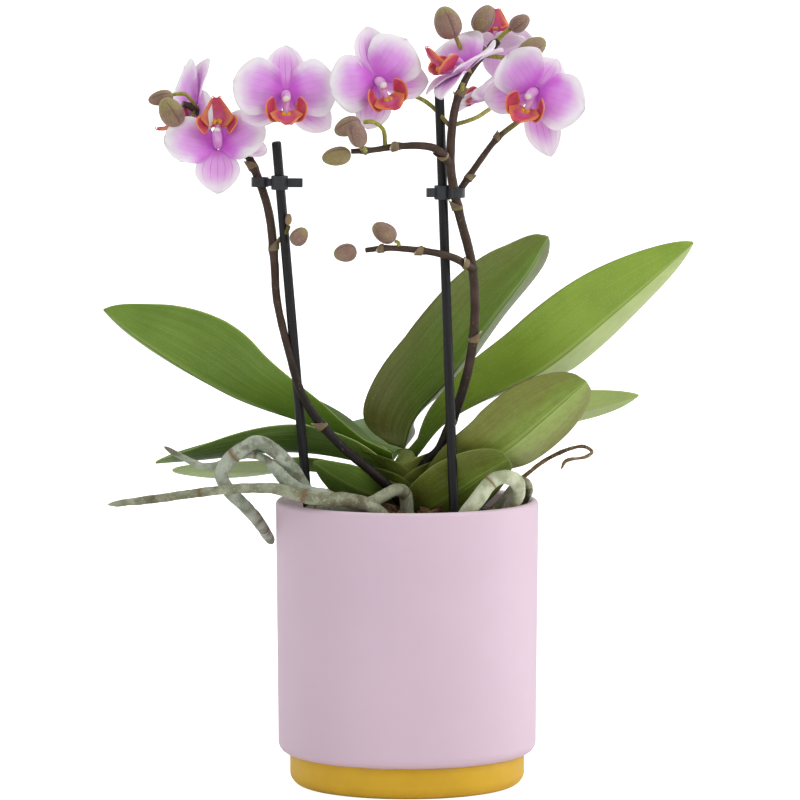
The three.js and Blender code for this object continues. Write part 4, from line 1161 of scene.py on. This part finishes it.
# ---- Flower spikes -----------------------------------------------------------------------------
# Wiry, brown-mauve stalks that branch at swollen nodes. Each node carries a small papery bract,
# and the short green-yellow stalks of the flowers and buds leave just above one.
SPIKES = {
    "flower_spike_left": [
        {
            "points": [
                (-3, -9, 120), (-8, -17, 127), (-15, -20, 134),
                (-26, -19, 143), (-33, -18, 150), (-40, -18, 159),
                (-45, -18, 169), (-49, -18, 183), (-54, -18, 205),
                (-55, -19, 221), (-57, -19, 240), (-60, -19, 251),
                (-65, -16, 263), (-69, -12, 269), (-78, -8, 277),
                (-84, -10, 280), (-90, -12, 285), (-93, -13, 286),
            ],
            "radius": [2.3, 2.1, 1.9, 1.7, 1.7, 1.9, 1.8, 1.7, 1.4], "tone": [-1, -1, -0.7, -0.2, 0, 0, 0],
            "nodes": [0.24, 0.62, 0.79, 0.93],
        },
        {
            "points": [(-56, -18, 225), (-53, -20, 230), (-50, -23, 233.5), (-49, -25, 236)], "radius": 0.9,
            "tone": 0.3,
        },
        {"points": [(-66, -14, 264), (-72, -17, 265), (-77, -20, 266)], "radius": 0.95, "tone": [0.2, 1]},
        {
            "points": [(-66, -14, 264), (-62, -10, 273), (-56, -12, 283), (-50, -22, 289)], "radius": 0.95,
            "tone": [0.1, 1],
        },
        {"points": [(-84, -10, 280), (-86, -7, 283), (-87, -4, 284)], "radius": 0.95, "tone": [0.3, 1]},
        {
            "points": [(-86, -11, 282), (-89, -12, 287), (-92, -13, 290), (-97, -14, 290)], "radius": 0.8,
            "tone": [0.3, 1],
        },
        {"points": [(-88, -12, 283), (-91, -17, 279), (-95, -19, 278)], "radius": 0.8, "tone": [0.3, 1]},
    ],
    "flower_spike_right": [
        {
            "points": [
                (3, -6, 130), (9, -11, 138), (13, -14, 142), (17, -17, 151), (21, -19, 161), (26, -22, 180),
                (28, -24, 201), (27, -24, 218), (25, -25, 228),
                (22, -26, 239), (18, -29, 259), (18, -29, 272),
                (20, -24, 286), (25, -18, 298), (33, -14, 308), (36, -12, 311),
            ],
            "radius": [2.1, 2.1, 2, 2, 2, 2, 1.7, 1.2], "tone": [-1, -0.8, -0.2, 0, 0, 0, 0],
            "nodes": [0.16, 0.34, 0.62, 0.86],
        },
        {
            "points": [(28, -24, 218), (18, -33, 224), (5, -38, 227), (-9, -39, 228), (-17, -37, 227)],
            "radius": [1.7, 1.5, 1.1], "tone": 0.05, "nodes": [0.12, 0.55, 0.86],
        },
        {
            "points": [(18, -29, 262), (11, -36, 269), (-3, -40, 270), (-14, -42, 268.5), (-23, -43, 268)],
            "radius": [1.9, 1.5, 1.1], "tone": 0.05, "nodes": [0.12, 0.6, 0.88],
        },
        {
            "points": [(21, -26, 250), (30, -22, 263), (37, -20, 272), (47, -15, 280), (50, -20, 286)],
            "radius": [1.5, 1.3, 1.1], "tone": [0, 0.1, 0.8], "nodes": [0.15, 0.55],
        },
        {"points": [(19, -28, 278), (27, -20, 280), (34, 0, 283)], "radius": 0.95, "tone": [0.3, 1]},
        {
            "points": [(19, -28, 276), (8, -20, 287), (-3, -20, 292), (-8, -27, 295)], "radius": 0.95,
            "tone": [0.3, 1],
        },
        {"points": [(22, -22, 290), (23, -24, 295)], "radius": 0.95, "tone": 1},
        {"points": [(33, -13, 308), (36, 0, 308)], "radius": 0.95, "tone": 1},
        {"points": [(26, -18, 299), (23, -20, 307), (20, -22, 314)], "radius": 0.95, "tone": [0.6, 1]},
        {"points": [(33, -14, 308), (28, -15, 312), (28, -16, 315.5)], "radius": 0.95, "tone": [0.3, 0.8]},
        {"points": [(34, -13, 309), (37.5, -14.5, 312)], "radius": [1.7, 2.1, 1.5], "tone": -0.5},
        {"points": [(36, -12, 311), (40, -13, 315), (42.5, -14, 317)], "radius": 0.95, "tone": 1},
        {"points": [(32, -14, 306), (38, -16, 305.5), (46, -17, 304.5)], "radius": 0.95, "tone": [0.5, 1]},
        {
            "points": [(-9, -41, 270), (-10, -42, 277), (-14, -43, 280), (-18, -43, 280)], "radius": 0.9,
            "tone": [0.4, 1],
        },
        {"points": [(-17, -42, 268), (-17.5, -47, 269), (-18.5, -49, 270)], "radius": 0.9, "tone": [0.3, 1]},
        {"points": [(-4, -39, 228), (-3.5, -39.5, 230), (-5, -39, 231)], "radius": 0.8, "tone": 0.6},
    ],
}
stalk_skin, tree, shader = new_finish(
    "flower_stalk_skin", Specular_IOR_Level=0.25, Subsurface_Weight=0.05, Subsurface_Scale=0.001,
)
place = object_place(tree)
tone = stored(tree, "tone")
mauve = tone_patches(tree, place, 120.0, 0.18, colour("3a2c20"), colour("4e3c32"))[0]
lengthways = add_node(
    tree, "ShaderNodeMapping", {"Vector": place, "Scale": (1.0, 1.0, 0.25)}
).outputs["Vector"]
fibre = noise_value(tree, lengthways, 850.0, 3.0)
young = mixed(tree, ramped(tree, fibre, 0.4, 0.7), colour("8f8e3c"), colour("b4b250"))
toned = mixed(tree, ramped(tree, tone, 0.1, 0.75), mauve, young)
old = mixed(tree, times(tree, ramped(tree, tone, -0.15, -0.85), 0.9), toned, colour("0f0d0a"))
lenticels = ramped(tree, noise_value(tree, place, 620.0, 2.0), 0.63, 0.72)
dotted = mixed(tree, times(tree, lenticels, 0.3), old, colour("8a7a6c"))
node_line = ramped(tree, stored(tree, "ring"), 0.45, 0.95)
fill(tree, shader.inputs, {
    "Base Color": mixed(tree, times(tree, node_line, 0.7), dotted, colour("b9a68e")),
    "Roughness": plus(tree, times(tree, fibre, 0.25), 0.36),
})
bumped(tree, shader, fibre, 0.4, 0.0003)

bract_skin, tree, shader = new_finish("papery_bract", Specular_IOR_Level=0.3, Roughness=0.6)
place = object_place(tree)
dry_tone = tone_patches(tree, place, 300.0, 0.2, colour("6c5844"), colour("87765a"))[0]
bract_along = stored(tree, "along")
tipped = mixed(tree, ramped(tree, bract_along, 0.7, 1.0), dry_tone, colour("cfc4a0"))
fill(tree, shader.inputs, {
    "Base Color": mixed(tree, ramped(tree, bract_along, 0.35, 0.0), tipped, colour("7c6f4a")),
})
bumped(tree, shader, noise_value(tree, place, 1100.0), 0.4, 0.0002)

for node_name, stems in SPIKES.items():
    tubes, bracts = [], []
    for index, stem in enumerate(stems):
        count = max(12, 14 * (len(stem["points"]) - 1))
        path = smooth_path(stem["points"], count)
        nodes = stem.get("nodes", [])
        span = sum((b - a).length for a, b in zip(path, path[1:])) / MM

        def stem_ring(t, nodes=nodes, span=span):
            return max([math.exp(-((t - spot) * span / 0.9) ** 2) for spot in nodes], default=0.0)

        def stem_girth(t, stem=stem, nodes=nodes, span=span):
            swelling = max([math.exp(-((t - spot) * span / 1.6) ** 2) for spot in nodes], default=0.0)
            return value_along(stem["radius"], t) * 0.97 + 0.38 * swelling

        tubes.append({"path": path, "girth": stem_girth, "ring": stem_ring, "tone": stem["tone"]})
        for order, spot in enumerate(nodes):
            at = round(spot * count)
            axis = (path[min(at + 1, count)] - path[max(at - 1, 0)]).normalized()
            sideways = Vector((1, -0.3, 0)) if (order + index) % 2 else Vector((-1, -0.3, 0.1))
            girth_here = value_along(stem["radius"], spot) * MM
            bracts.append(clasping_sheath(path[at], axis, sideways, girth_here * 2.6, girth_here + 0.0002))
    spike = stem_piece(
        node_name.replace("flower_spike", "bloom_spike"), tubes, stalk_skin, sides=18, lumps=0.35,
        lump_scale=260.0
    )
    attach(spike, "root")
    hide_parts(node_name)
    sheaths = gathered(node_name.replace("flower_spike", "spike_bracts"), bracts)
    sheaths.data.materials.append(bract_skin)
    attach(sheaths, "root")
    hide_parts(node_name)

# ---- Flowers -----------------------------------------------------------------------------------
# Each bloom has three sepals behind two broad petals on narrow claws, all thin, waxy and lilac
# fading to a white edge, with finer and darker veins on the sepals.
FLOWER_DEFAULTS = {
    "size": 1, "dorsal": (90, -4, 20), "petals": [(12, 6, 22), (168, 6, 22)],
    "laterals": [(-48, -6, 21), (-132, -6, 21)],
    "lip": -90, "lip_drop": 30, "sepal_width": 7.8,
}
FLOWERS = {
    "flower_left_rear": {
        "centre": (-87, -3, 285), "facing": (-0.9, -0.4, 0.15), "up": (0, 0, 1),
        "petals": [(-25, 6, 22), (138, 6, 22)], "lip_drop": 25,
    },
    "flower_left_front": {
        "centre": (-78, -24, 268), "facing": (-0.05, -0.7, 0.7), "up": (0, -0.7, -0.7),
        "petals": [(-6, 14, 23, -4), (192, 22, 22, 4)], "laterals": [(-32, -34, 22), (-150, -26, 24)],
        "dorsal": (90, -8, 21.5), "sepal_width": 9.4, "lip_drop": 45,
    },
    "flower_centre_left": {
        "centre": (-50, -27, 291), "facing": (0.04, -1, 0.1), "up": (0, 0, 1), "dorsal": (91, -4, 20),
        "petals": [(10, 6, 21.5), (167, 6, 22.5)], "laterals": [(-38, -6, 23.5), (-150, -6, 21)],
    },
    "flower_centre": {
        "centre": (-12.5, -29, 296.5), "facing": (0.2, -0.97, 0.08),
        "up": (0, 0, 1), "dorsal": (99, -4, 22.5),
        "petals": [(52, 6, 21), (187, 6, 20.5)], "laterals": [(-2, -6, 22.5), (-100, -6, 20.5)], "lip": -68,
    },
    "flower_right": {
        "centre": (53, -24, 292), "facing": (-0.3, -0.95, 0.05), "up": (0, 0, 1), "dorsal": (62, -20, 16),
        "petals": [(-20, 6, 23), (127, 6, 19)], "laterals": [(-78, -6, 28), (190, -6, 23.5)], "lip": -106,
    },
    "flower_upper_side": {
        "centre": (24, -27, 300), "facing": (-0.47, -0.1, 0.88),
        "up": (0.8, 0.35, 0.47), "dorsal": (90, 0, 19),
        "petals": [(14, 16, 20), (150, 42, 20)], "laterals": [(-62, -6, 21), (-100, 2, 19)], "lip_drop": 15,
    },
    "flower_upper_rear": {
        "centre": (37, 5, 307), "facing": (0.1, 0.65, 0.75), "up": (0.1, 0.75, -0.65), "size": 0.85,
        "petals": [(-6, 6, 22), (172, 6, 22)], "lip_drop": 40,
    },
    "flower_right_rear": {
        "centre": (34, 6, 287), "facing": (-0.6, 0.3, 0.7), "up": (0.75, 0.2, 0.6), "size": 0.72,
        "petals": [(13, 10, 22), (167, 34, 22)], "laterals": [(-65, 24, 20), (-115, 24, 20)],
    },
}
PETAL_HALF_WIDTH = 12.5
FLOWER_THICKNESS = 0.55

# Petal tissue: a deep core at the claw, an even blade and a pale edge, with branching veins.
tissue_group, given, put = add_group(
    "petal_tissue",
    {
        "Edge": "c", "Blade": "c", "Core": "c", "Vein": "c", "Vein Count": "f", "Vein Amount": "f",
        "Core Reach": "f",
    },
    {"Color": "c", "Roughness": "f", "Height": "f"},
)
t = tissue_group
place = object_place(t)
across, along, upper = stored(t, "across"), stored(t, "along"), stored(t, "upper")
width_place = maths(t, "ABSOLUTE", across)
warp = times(t, maths(t, "SUBTRACT", noise_value(t, place, 110.0, 3.0), 0.5), 0.35)
fan = plus(t, times(t, across, given["Vein Count"]), warp)
vein_wave = maths(t, "ABSOLUTE", maths(t, "SINE", times(t, fan, math.pi)))
vein_line = ramped(t, vein_wave, 0.32, 0.02)
vein_fade = times(t, ramped(t, along, 0.97, 0.45), ramped(t, width_place, 0.98, 0.6))
radial = maths(
    t, "POWER", plus(t, maths(t, "POWER", times(t, width_place, 0.86), 2.6), maths(t, "POWER", along, 3.2)),
    0.5
)
cloud = times(t, maths(t, "SUBTRACT", noise_value(t, place, 130.0, 3.0), 0.5), 0.35)
edge_mask = ramped(t, plus(t, radial, cloud), 0.36, 0.94)
core_mask = ramped(t, plus(t, along, cloud), given["Core Reach"], times(t, given["Core Reach"], 0.25))
blade_colour = mixed(t, edge_mask, given["Blade"], given["Edge"])
cored = mixed(t, times(t, core_mask, 0.8), blade_colour, given["Core"])
vein_strength = times(t, times(t, vein_line, vein_fade), given["Vein Amount"])
veined = mixed(t, vein_strength, cored, given["Vein"])
back = mixed(t, times(t, ramped(t, upper, 0.55, 0.4), 0.55), veined, (0.86, 0.72, 0.84, 1))
sparkle = noise_value(t, place, 2600.0, 2.0)
t.links.new(back, put["Color"])
t.links.new(plus(t, times(t, sparkle, 0.25), 0.42), put["Roughness"])
t.links.new(maths(t, "SUBTRACT", times(t, sparkle, 0.5), times(t, vein_line, vein_fade)), put["Height"])


def tissue_finish(name, edge, blade_tone, core, vein, vein_count, vein_amount, core_reach):
    finish, tree, shader = new_finish(
        name, Specular_IOR_Level=0.3, Sheen_Weight=0.15, Sheen_Roughness=0.5,
        Subsurface_Weight=0.35, Subsurface_Scale=0.0025, Subsurface_Radius=(1.0, 0.6, 1.0),
    )
    values = {
        "Edge": colour(edge), "Blade": colour(blade_tone), "Core": colour(core), "Vein": colour(vein),
        "Vein Count": vein_count, "Vein Amount": vein_amount, "Core Reach": core_reach,
    }
    made = add_node(tree, "ShaderNodeGroup", values, node_tree=tissue_group)
    fill(tree, shader.inputs, {"Base Color": made.outputs["Color"], "Roughness": made.outputs["Roughness"]})
    bumped(tree, shader, made.outputs["Height"], 0.3, 0.00025)
    return finish


petal_tissue = tissue_finish("petal_tissue", "f6eef6", "dd9ee6", "cf4fd6", "b466cc", 4.5, 0.2, 0.5)
sepal_tissue = tissue_finish("sepal_tissue", "f4e6f2", "dfa4e2", "cc64cc", "bc4cb8", 3.0, 0.55, 0.35)


def flower_frame(flower):
    """The bloom's own frame: X to its right, Y to its dorsal sepal, Z out of its face, in mm."""
    out = Vector(flower["facing"]).normalized()
    right = Vector(flower["up"]).cross(out).normalized()
    dorsal = out.cross(right)
    turned = Matrix((right, dorsal, out)).transposed().to_4x4()
    return Matrix.Translation(flower["centre"]) @ turned @ Matrix.Scale(flower["size"], 4)


def organ_points(place_in, aim):
    """Points of an organ that leaves the flower's centre and curves back at its tip."""
    angle, pitch, length = aim[:3]
    turn, tilt = math.radians(angle), math.radians(pitch)
    found = []
    for t in (0, 0.25, 0.5, 0.75, 1):
        reach = 0.6 + (length - 0.6) * t
        out = reach * math.sin(tilt) + 1.6 * math.sin(math.pi * t) - 0.8 * t
        flat_reach = reach * math.cos(tilt)
        found.append(
            tuple(place_in @ Vector((flat_reach * math.cos(turn), flat_reach * math.sin(turn), out)))
        )
    return found


def petal_outline(t):
    """A narrow claw, then a broad, round blade."""
    if t < 0.06:
        return 0.16
    u = (t - 0.06) / 0.94
    return max(0.16 * (1 - u) ** 3, (math.sin(math.pi * u ** 0.96)) ** 0.52 * (0.98 + 0.04 * math.cos(9 * u)))


def sepal_outline(t):
    """An oval that tapers to its base and to a blunt point."""
    return max(0.3 * (1 - t) ** 2, math.sin(math.pi * t ** 1.12) ** 0.66)


def ruffle(seed, amount):
    def wave(s, t):
        return amount * noise.noise(Vector((2.4 * s, 2.6 * t, seed))) * (0.25 + abs(s) ** 1.5) * min(1, 3 * t)
    return wave


for index, (node_start, spec) in enumerate(FLOWERS.items()):
    flower = {**FLOWER_DEFAULTS, **spec}
    size = flower["size"]
    place_in = flower_frame(flower)
    petals, sepals = [], []
    for order, aim in enumerate([*flower["petals"], flower["dorsal"], *flower["laterals"]]):
        is_petal = order < 2
        organ = blade(
            {
                "points": organ_points(place_in, aim), "up": flower["facing"], "thickness": FLOWER_THICKNESS,
                "half_width": (PETAL_HALF_WIDTH if is_petal else flower["sepal_width"]) * size,
                "roll": aim[3] if len(aim) > 3 else 0,
                "shape": petal_outline if is_petal else sepal_outline, "neck": 0,
                "fold": 5 if is_petal else 8,
                "wave": ruffle(index * 11.7 + order * 3.1, 2.0 if is_petal else 1.1),
            },
            22, 34,
        )
        (petals if is_petal else sepals).append(organ)
    name = node_start.replace("flower", "bloom")
    for label, organs, tissue in (("petals", petals, petal_tissue), ("sepals", sepals, sepal_tissue)):
        piece = gathered(f"{name}_{label}", organs)
        piece.data.materials.append(tissue)
        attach(piece, "root")
        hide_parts(f"{node_start}_petals")

# ---- Lips and columns --------------------------------------------------------------------------
# The third petal is the lip: two upright side lobes, crimson inside an orange edge, round a
# spotted yellow callus, and a pointed middle lobe with curled whiskers. The column stands above.
LIP_PART, SIDE_PART, COLUMN_PART, CAP_PART, CALLUS_PART = 0.0, 0.25, 0.5, 0.75, 1.0

lip_tissue, tree, shader = new_finish(
    "lip_tissue", Specular_IOR_Level=0.45, Subsurface_Weight=0.25, Subsurface_Scale=0.0015,
    Subsurface_Radius=(1.0, 0.4, 0.3), Coat_Weight=0.1, Coat_Roughness=0.25,
)
place = object_place(tree)
part, across, along = stored(tree, "part"), stored(tree, "across"), stored(tree, "along")
width_place = maths(tree, "ABSOLUTE", across)
speck_noise = noise_value(tree, place, 420.0, 3.0)
lobe_wash = plus(tree, width_place, times(tree, speck_noise, 0.35))
crimson = tone_patches(tree, place, 260.0, 0.2, colour("c23a5e"), colour("d4566a"))[0]
lip_edge = mixed(tree, ramped(tree, lobe_wash, 0.62, 1.15), crimson, colour("e08848"))
magenta_heart = mixed(
    tree, times(tree, ramped(tree, along, 0.75, 0.1), ramped(tree, width_place, 0.5, 0.1)), lip_edge,
    colour("d565b4")
)
side_edge = mixed(tree, ramped(tree, lobe_wash, 0.78, 1.2), crimson, colour("e8964a"))
lip_colour = mixed(tree, ramped(tree, part, 0.1, 0.2), magenta_heart, side_edge)
column_tone = tone_patches(tree, place, 220.0, 0.2, colour("d488cf"), colour("e6b4de"))[0]
with_column = mixed(tree, ramped(tree, part, 0.35, 0.45), lip_colour, column_tone)
with_cap = mixed(tree, ramped(tree, part, 0.6, 0.7), with_column, colour("ead8d6"))
red_dots = add_node(tree, "ShaderNodeTexVoronoi", {"Vector": place, "Scale": 1500.0}).outputs["Distance"]
callus_colour = mixed(tree, ramped(tree, red_dots, 0.38, 0.24), colour("e6a526"), colour("a82c2c"))
fill(tree, shader.inputs, {
    "Base Color": mixed(tree, ramped(tree, part, 0.85, 0.95), with_cap, callus_colour),
    "Roughness": plus(tree, times(tree, speck_noise, 0.2), 0.32),
})
bumped(tree, shader, speck_noise, 0.3, 0.0003)


def tube_part(path, girth, sides, part_number):
    """Points, faces and numbers of a closed tube along a path in metres."""
    points = []
    count = len(path) - 1
    for i, centre in enumerate(path):
        tangent = (path[min(i + 1, count)] - path[max(i - 1, 0)]).normalized()
        first = tangent.orthogonal().normalized()
        if i:
            first = (before - tangent * before.dot(tangent)).normalized()
        before = first
        second = tangent.cross(first)
        for k in range(sides):
            turn = 2 * math.pi * k / sides
            points.append(centre + (first * math.cos(turn) + second * math.sin(turn)) * girth(i / count) * MM)
    total = len(points)
    numbers = {
        "across": [0.3] * total, "along": [(i // sides) / count for i in range(total)],
        "upper": [1.0] * total, "part": [part_number] * total,
    }
    return points, ring_faces(count, sides), numbers


def rounded(width, power=0.5):
    """A girth that swells from nearly nothing to width and back: an egg."""
    return lambda t: width * max(math.sin(math.pi * min(max(t, 0.004), 0.996)), 0) ** power


def trowel_outline(t):
    """The middle lobe: a broad arrowhead that narrows to a blunt point."""
    rise = min(1, (t / 0.3) ** 0.7)
    return 0.25 + 0.75 * rise * max(0, 1 - ((t - 0.3) / 0.72)) ** 0.8 if t > 0.3 else 0.5 + 0.5 * rise


def side_lobe_outline(t):
    return max(0.55 * (1 - t) ** 2, math.sin(math.pi * t ** 1.05) ** 0.5)


for index, (node_start, spec) in enumerate(FLOWERS.items()):
    flower = {**FLOWER_DEFAULTS, **spec}
    size = flower["size"]
    turned = flower_frame(flower) @ Matrix.Rotation(math.radians(flower["lip"] + 90), 4, "Z")
    drop = math.radians(flower["lip_drop"])

    def at(x, y, z, turned=turned):
        return tuple(turned @ Vector((x, y, z)))

    def aimed(x, y, z, turned=turned):
        return (turned.to_3x3() @ Vector((x, y, z))).normalized()

    def lobe_at(length, lift=0.0, shift=0.0):
        return at(
            shift, -8 - length * math.sin(drop) + lift * math.cos(drop),
            4.5 + length * math.cos(drop) + lift * math.sin(drop)
        )

    parts = [
        blade(
            {
                "points": [lobe_at(0), lobe_at(4.5, -0.4), lobe_at(9, 0), lobe_at(12.2, 0.9)],
                "up": aimed(0, 1, 1),
                "half_width": 7.2 * size, "shape": trowel_outline, "neck": 0,
                "thickness": 0.9 * size, "fold": [16, 10, 14],
                "part": LIP_PART, "wave": ruffle(index * 5.3, 0.8),
            },
            18, 26,
        )
    ]
    for side in (-1, 1):
        parts.append(blade(
            {
                "points": [
                    at(side * 2.4, -10.6, 4.6), at(side * 6.0, -9.0, 5.6), at(side * 7.0, -5.6, 6.9),
                    at(side * 5.6, -1.8, 7.7),
                ],
                "up": aimed(-side, 0, 0.8), "half_width": 4.0 * size, "shape": side_lobe_outline, "neck": 0,
                "thickness": 0.8 * size, "fold": 14, "part": SIDE_PART,
            },
            14, 22,
        ))
        whisker = smooth_path(
            [
                lobe_at(11.6, 0.6, side * 0.5), lobe_at(12.6, 1.0, side * 1.1),
                lobe_at(12.7, 1.8, side * 1.8),
                lobe_at(12.0, 2.2, side * 2.1),
            ],
            12,
        )
        parts.append(tube_part(whisker, lambda t, size=size: (0.32 - 0.2 * t) * size, 8, SIDE_PART))
    claw = smooth_path([at(0, -1.2, 3.4), at(0, -5, 3.8), at(0, -9.5, 5)], 14)
    parts.append(
        tube_part(claw, lambda t, size=size: (1.2 + 0.25 * math.sin(3.1 * t)) * size, 14, COLUMN_PART)
    )
    column = smooth_path([at(0, -0.4, 1.2), at(0, -0.8, 4.4), at(0, -2.0, 7.0), at(0, -2.8, 8.4)], 18)
    parts.append(
        tube_part(column, lambda t, size=size: (1.7 + 0.35 * math.sin(math.pi * t)) * size, 18, COLUMN_PART)
    )
    cap = smooth_path([at(0, -1.7, 6.6), at(0, -2.7, 8.3), at(0, -3.5, 9.3)], 14)
    parts.append(tube_part(cap, rounded(1.65 * size), 18, CAP_PART))
    for side in (-1, 1):
        callus = smooth_path(
            [at(side * 0.2, -10.8, 6.2), at(side * 0.9, -9.3, 6.7), at(side * 1.3, -7.7, 6.5)], 10
        )
        parts.append(tube_part(callus, rounded(1.15 * size), 12, CALLUS_PART))
    lip = gathered(node_start.replace("flower", "bloom") + "_lip_and_column", parts)
    lip.data.materials.append(lip_tissue)
    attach(lip, "root")
    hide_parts(f"{node_start}_lip")

# ---- Buds --------------------------------------------------------------------------------------
# Closed buds: three thick sepals that meet in seams, brown-mauve over olive green and slightly
# pinched at the tip, each on its own short stalk.
BUDS = {
    "bud_far_left": ((-102, -14.5, 288.5), (-1, -0.1, -0.22), 10.5, 3.2),
    "bud_left": ((-97.5, -20.5, 283), (-0.5, -0.25, 0.85), 13.2, 5),
    "bud_twig_tip": ((-49, -25.5, 239), (0.1, 0, 1), 4.8, 1.4),
    "bud_twig": ((-44.5, -27, 232), (0.6, -0.3, 0.75), 8.6, 3.5),
    "bud_lower_branch_tip": ((-25.5, -38, 226), (-1, -0.1, -0.15), 9.6, 3.8),
    "bud_lower_branch": ((-9.5, -39, 234.5), (-0.8, -0.1, 0.55), 11, 4.1),
    "bud_upper_branch_rear": ((-24.5, -41.5, 278), (-0.9, 0.1, -0.4), 11.5, 4),
    "bud_upper_branch_front": ((-20.5, -50.5, 275.5), (-0.3, -0.3, 0.9), 11.5, 3.9),
    "bud_upper_branch_tip": ((-29, -44, 266), (-1, -0.1, -0.15), 12, 3.9),
    "bud_crest_left": ((16.5, -24, 320), (-0.35, -0.2, 0.95), 14, 5.6),
    "bud_crest_middle": ((31.5, -16.5, 321.3), (0.5, 0, 0.86), 12.4, 4.4),
    "bud_crest_right": ((46.5, -14.5, 319.5), (0.82, 0, 0.57), 9.2, 3.5),
    "bud_crest_low": ((51.5, -18, 309), (0.82, -0.1, 0.57), 13.2, 4.4),
}
BUD_ROWS, BUD_SIDES = 34, 48
bud_skin, tree, shader = new_finish(
    "closed_bud_skin", Specular_IOR_Level=0.35, Sheen_Weight=0.15, Sheen_Roughness=0.5,
    Subsurface_Weight=0.12, Subsurface_Scale=0.001,
)
place = object_place(tree)
seam, along = stored(tree, "across"), stored(tree, "along")
brown_mauve = tone_patches(tree, place, 105.0, 0.2, colour("7e5e54"), colour("967a68"))[0]
olive = plus(tree, noise_value(tree, place, 75.0, 3.0), times(tree, along, 0.12))
greened = mixed(tree, times(tree, ramped(tree, olive, 0.53, 0.7), 0.75), brown_mauve, colour("948a4c"))
fine = noise_value(tree, place, 1300.0, 3.0)
dusted = mixed(tree, times(tree, ramped(tree, fine, 0.5, 0.7), 0.3), greened, colour("c4ab9c"))
seam_line = ramped(tree, seam, 0.55, 0.95)
fill(tree, shader.inputs, {
    "Base Color": mixed(tree, times(tree, seam_line, 0.7), dusted, colour("6b4c4a")),
    "Roughness": plus(tree, times(tree, fine, 0.2), 0.45),
})
bumped(tree, shader, maths(tree, "SUBTRACT", times(tree, fine, 0.4), seam_line), 0.35, 0.0003)
for index, (node_name, (centre, axis, length, radius)) in enumerate(BUDS.items()):
    direction = Vector(axis).normalized()
    turn_to = Vector((0, 0, 1)).rotation_difference(direction).to_matrix()
    seam_start = random.Random(index).uniform(0, 2 * math.pi)
    points, numbers = [], {"across": [], "along": []}
    for row in range(BUD_ROWS + 1):
        polar = math.pi * row / BUD_ROWS
        level = -math.cos(polar)
        for k in range(BUD_SIDES):
            turn = 2 * math.pi * k / BUD_SIDES
            seam_near = max(math.cos(1.5 * (turn - seam_start)) ** 2, 0) ** 14
            plump = 0
            if 0 < row < BUD_ROWS:
                pinch = (1 - 0.13 * level) * math.sin(polar) ** 0.92
                plump = radius * pinch * (1 - 0.045 * seam_near)
            sway = 1 + 0.03 * noise.noise(Vector((math.cos(turn), math.sin(turn), level + index)))
            spot = Vector((plump * sway * math.cos(turn), plump * sway * math.sin(turn), level * length / 2))
            points.append((Vector(centre) + turn_to @ spot) * MM)
            numbers["across"].append(seam_near * math.sin(polar) ** 0.3 if 0 < row < BUD_ROWS else 0.5)
            numbers["along"].append(row / BUD_ROWS)
    faces = ring_faces(BUD_ROWS, BUD_SIDES, capped=False)
    bud = mesh_piece(node_name.replace("bud", "flower_bud"), points, faces, numbers)
    bud.data.materials.append(bud_skin)
    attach(bud, "root")
    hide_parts(node_name)
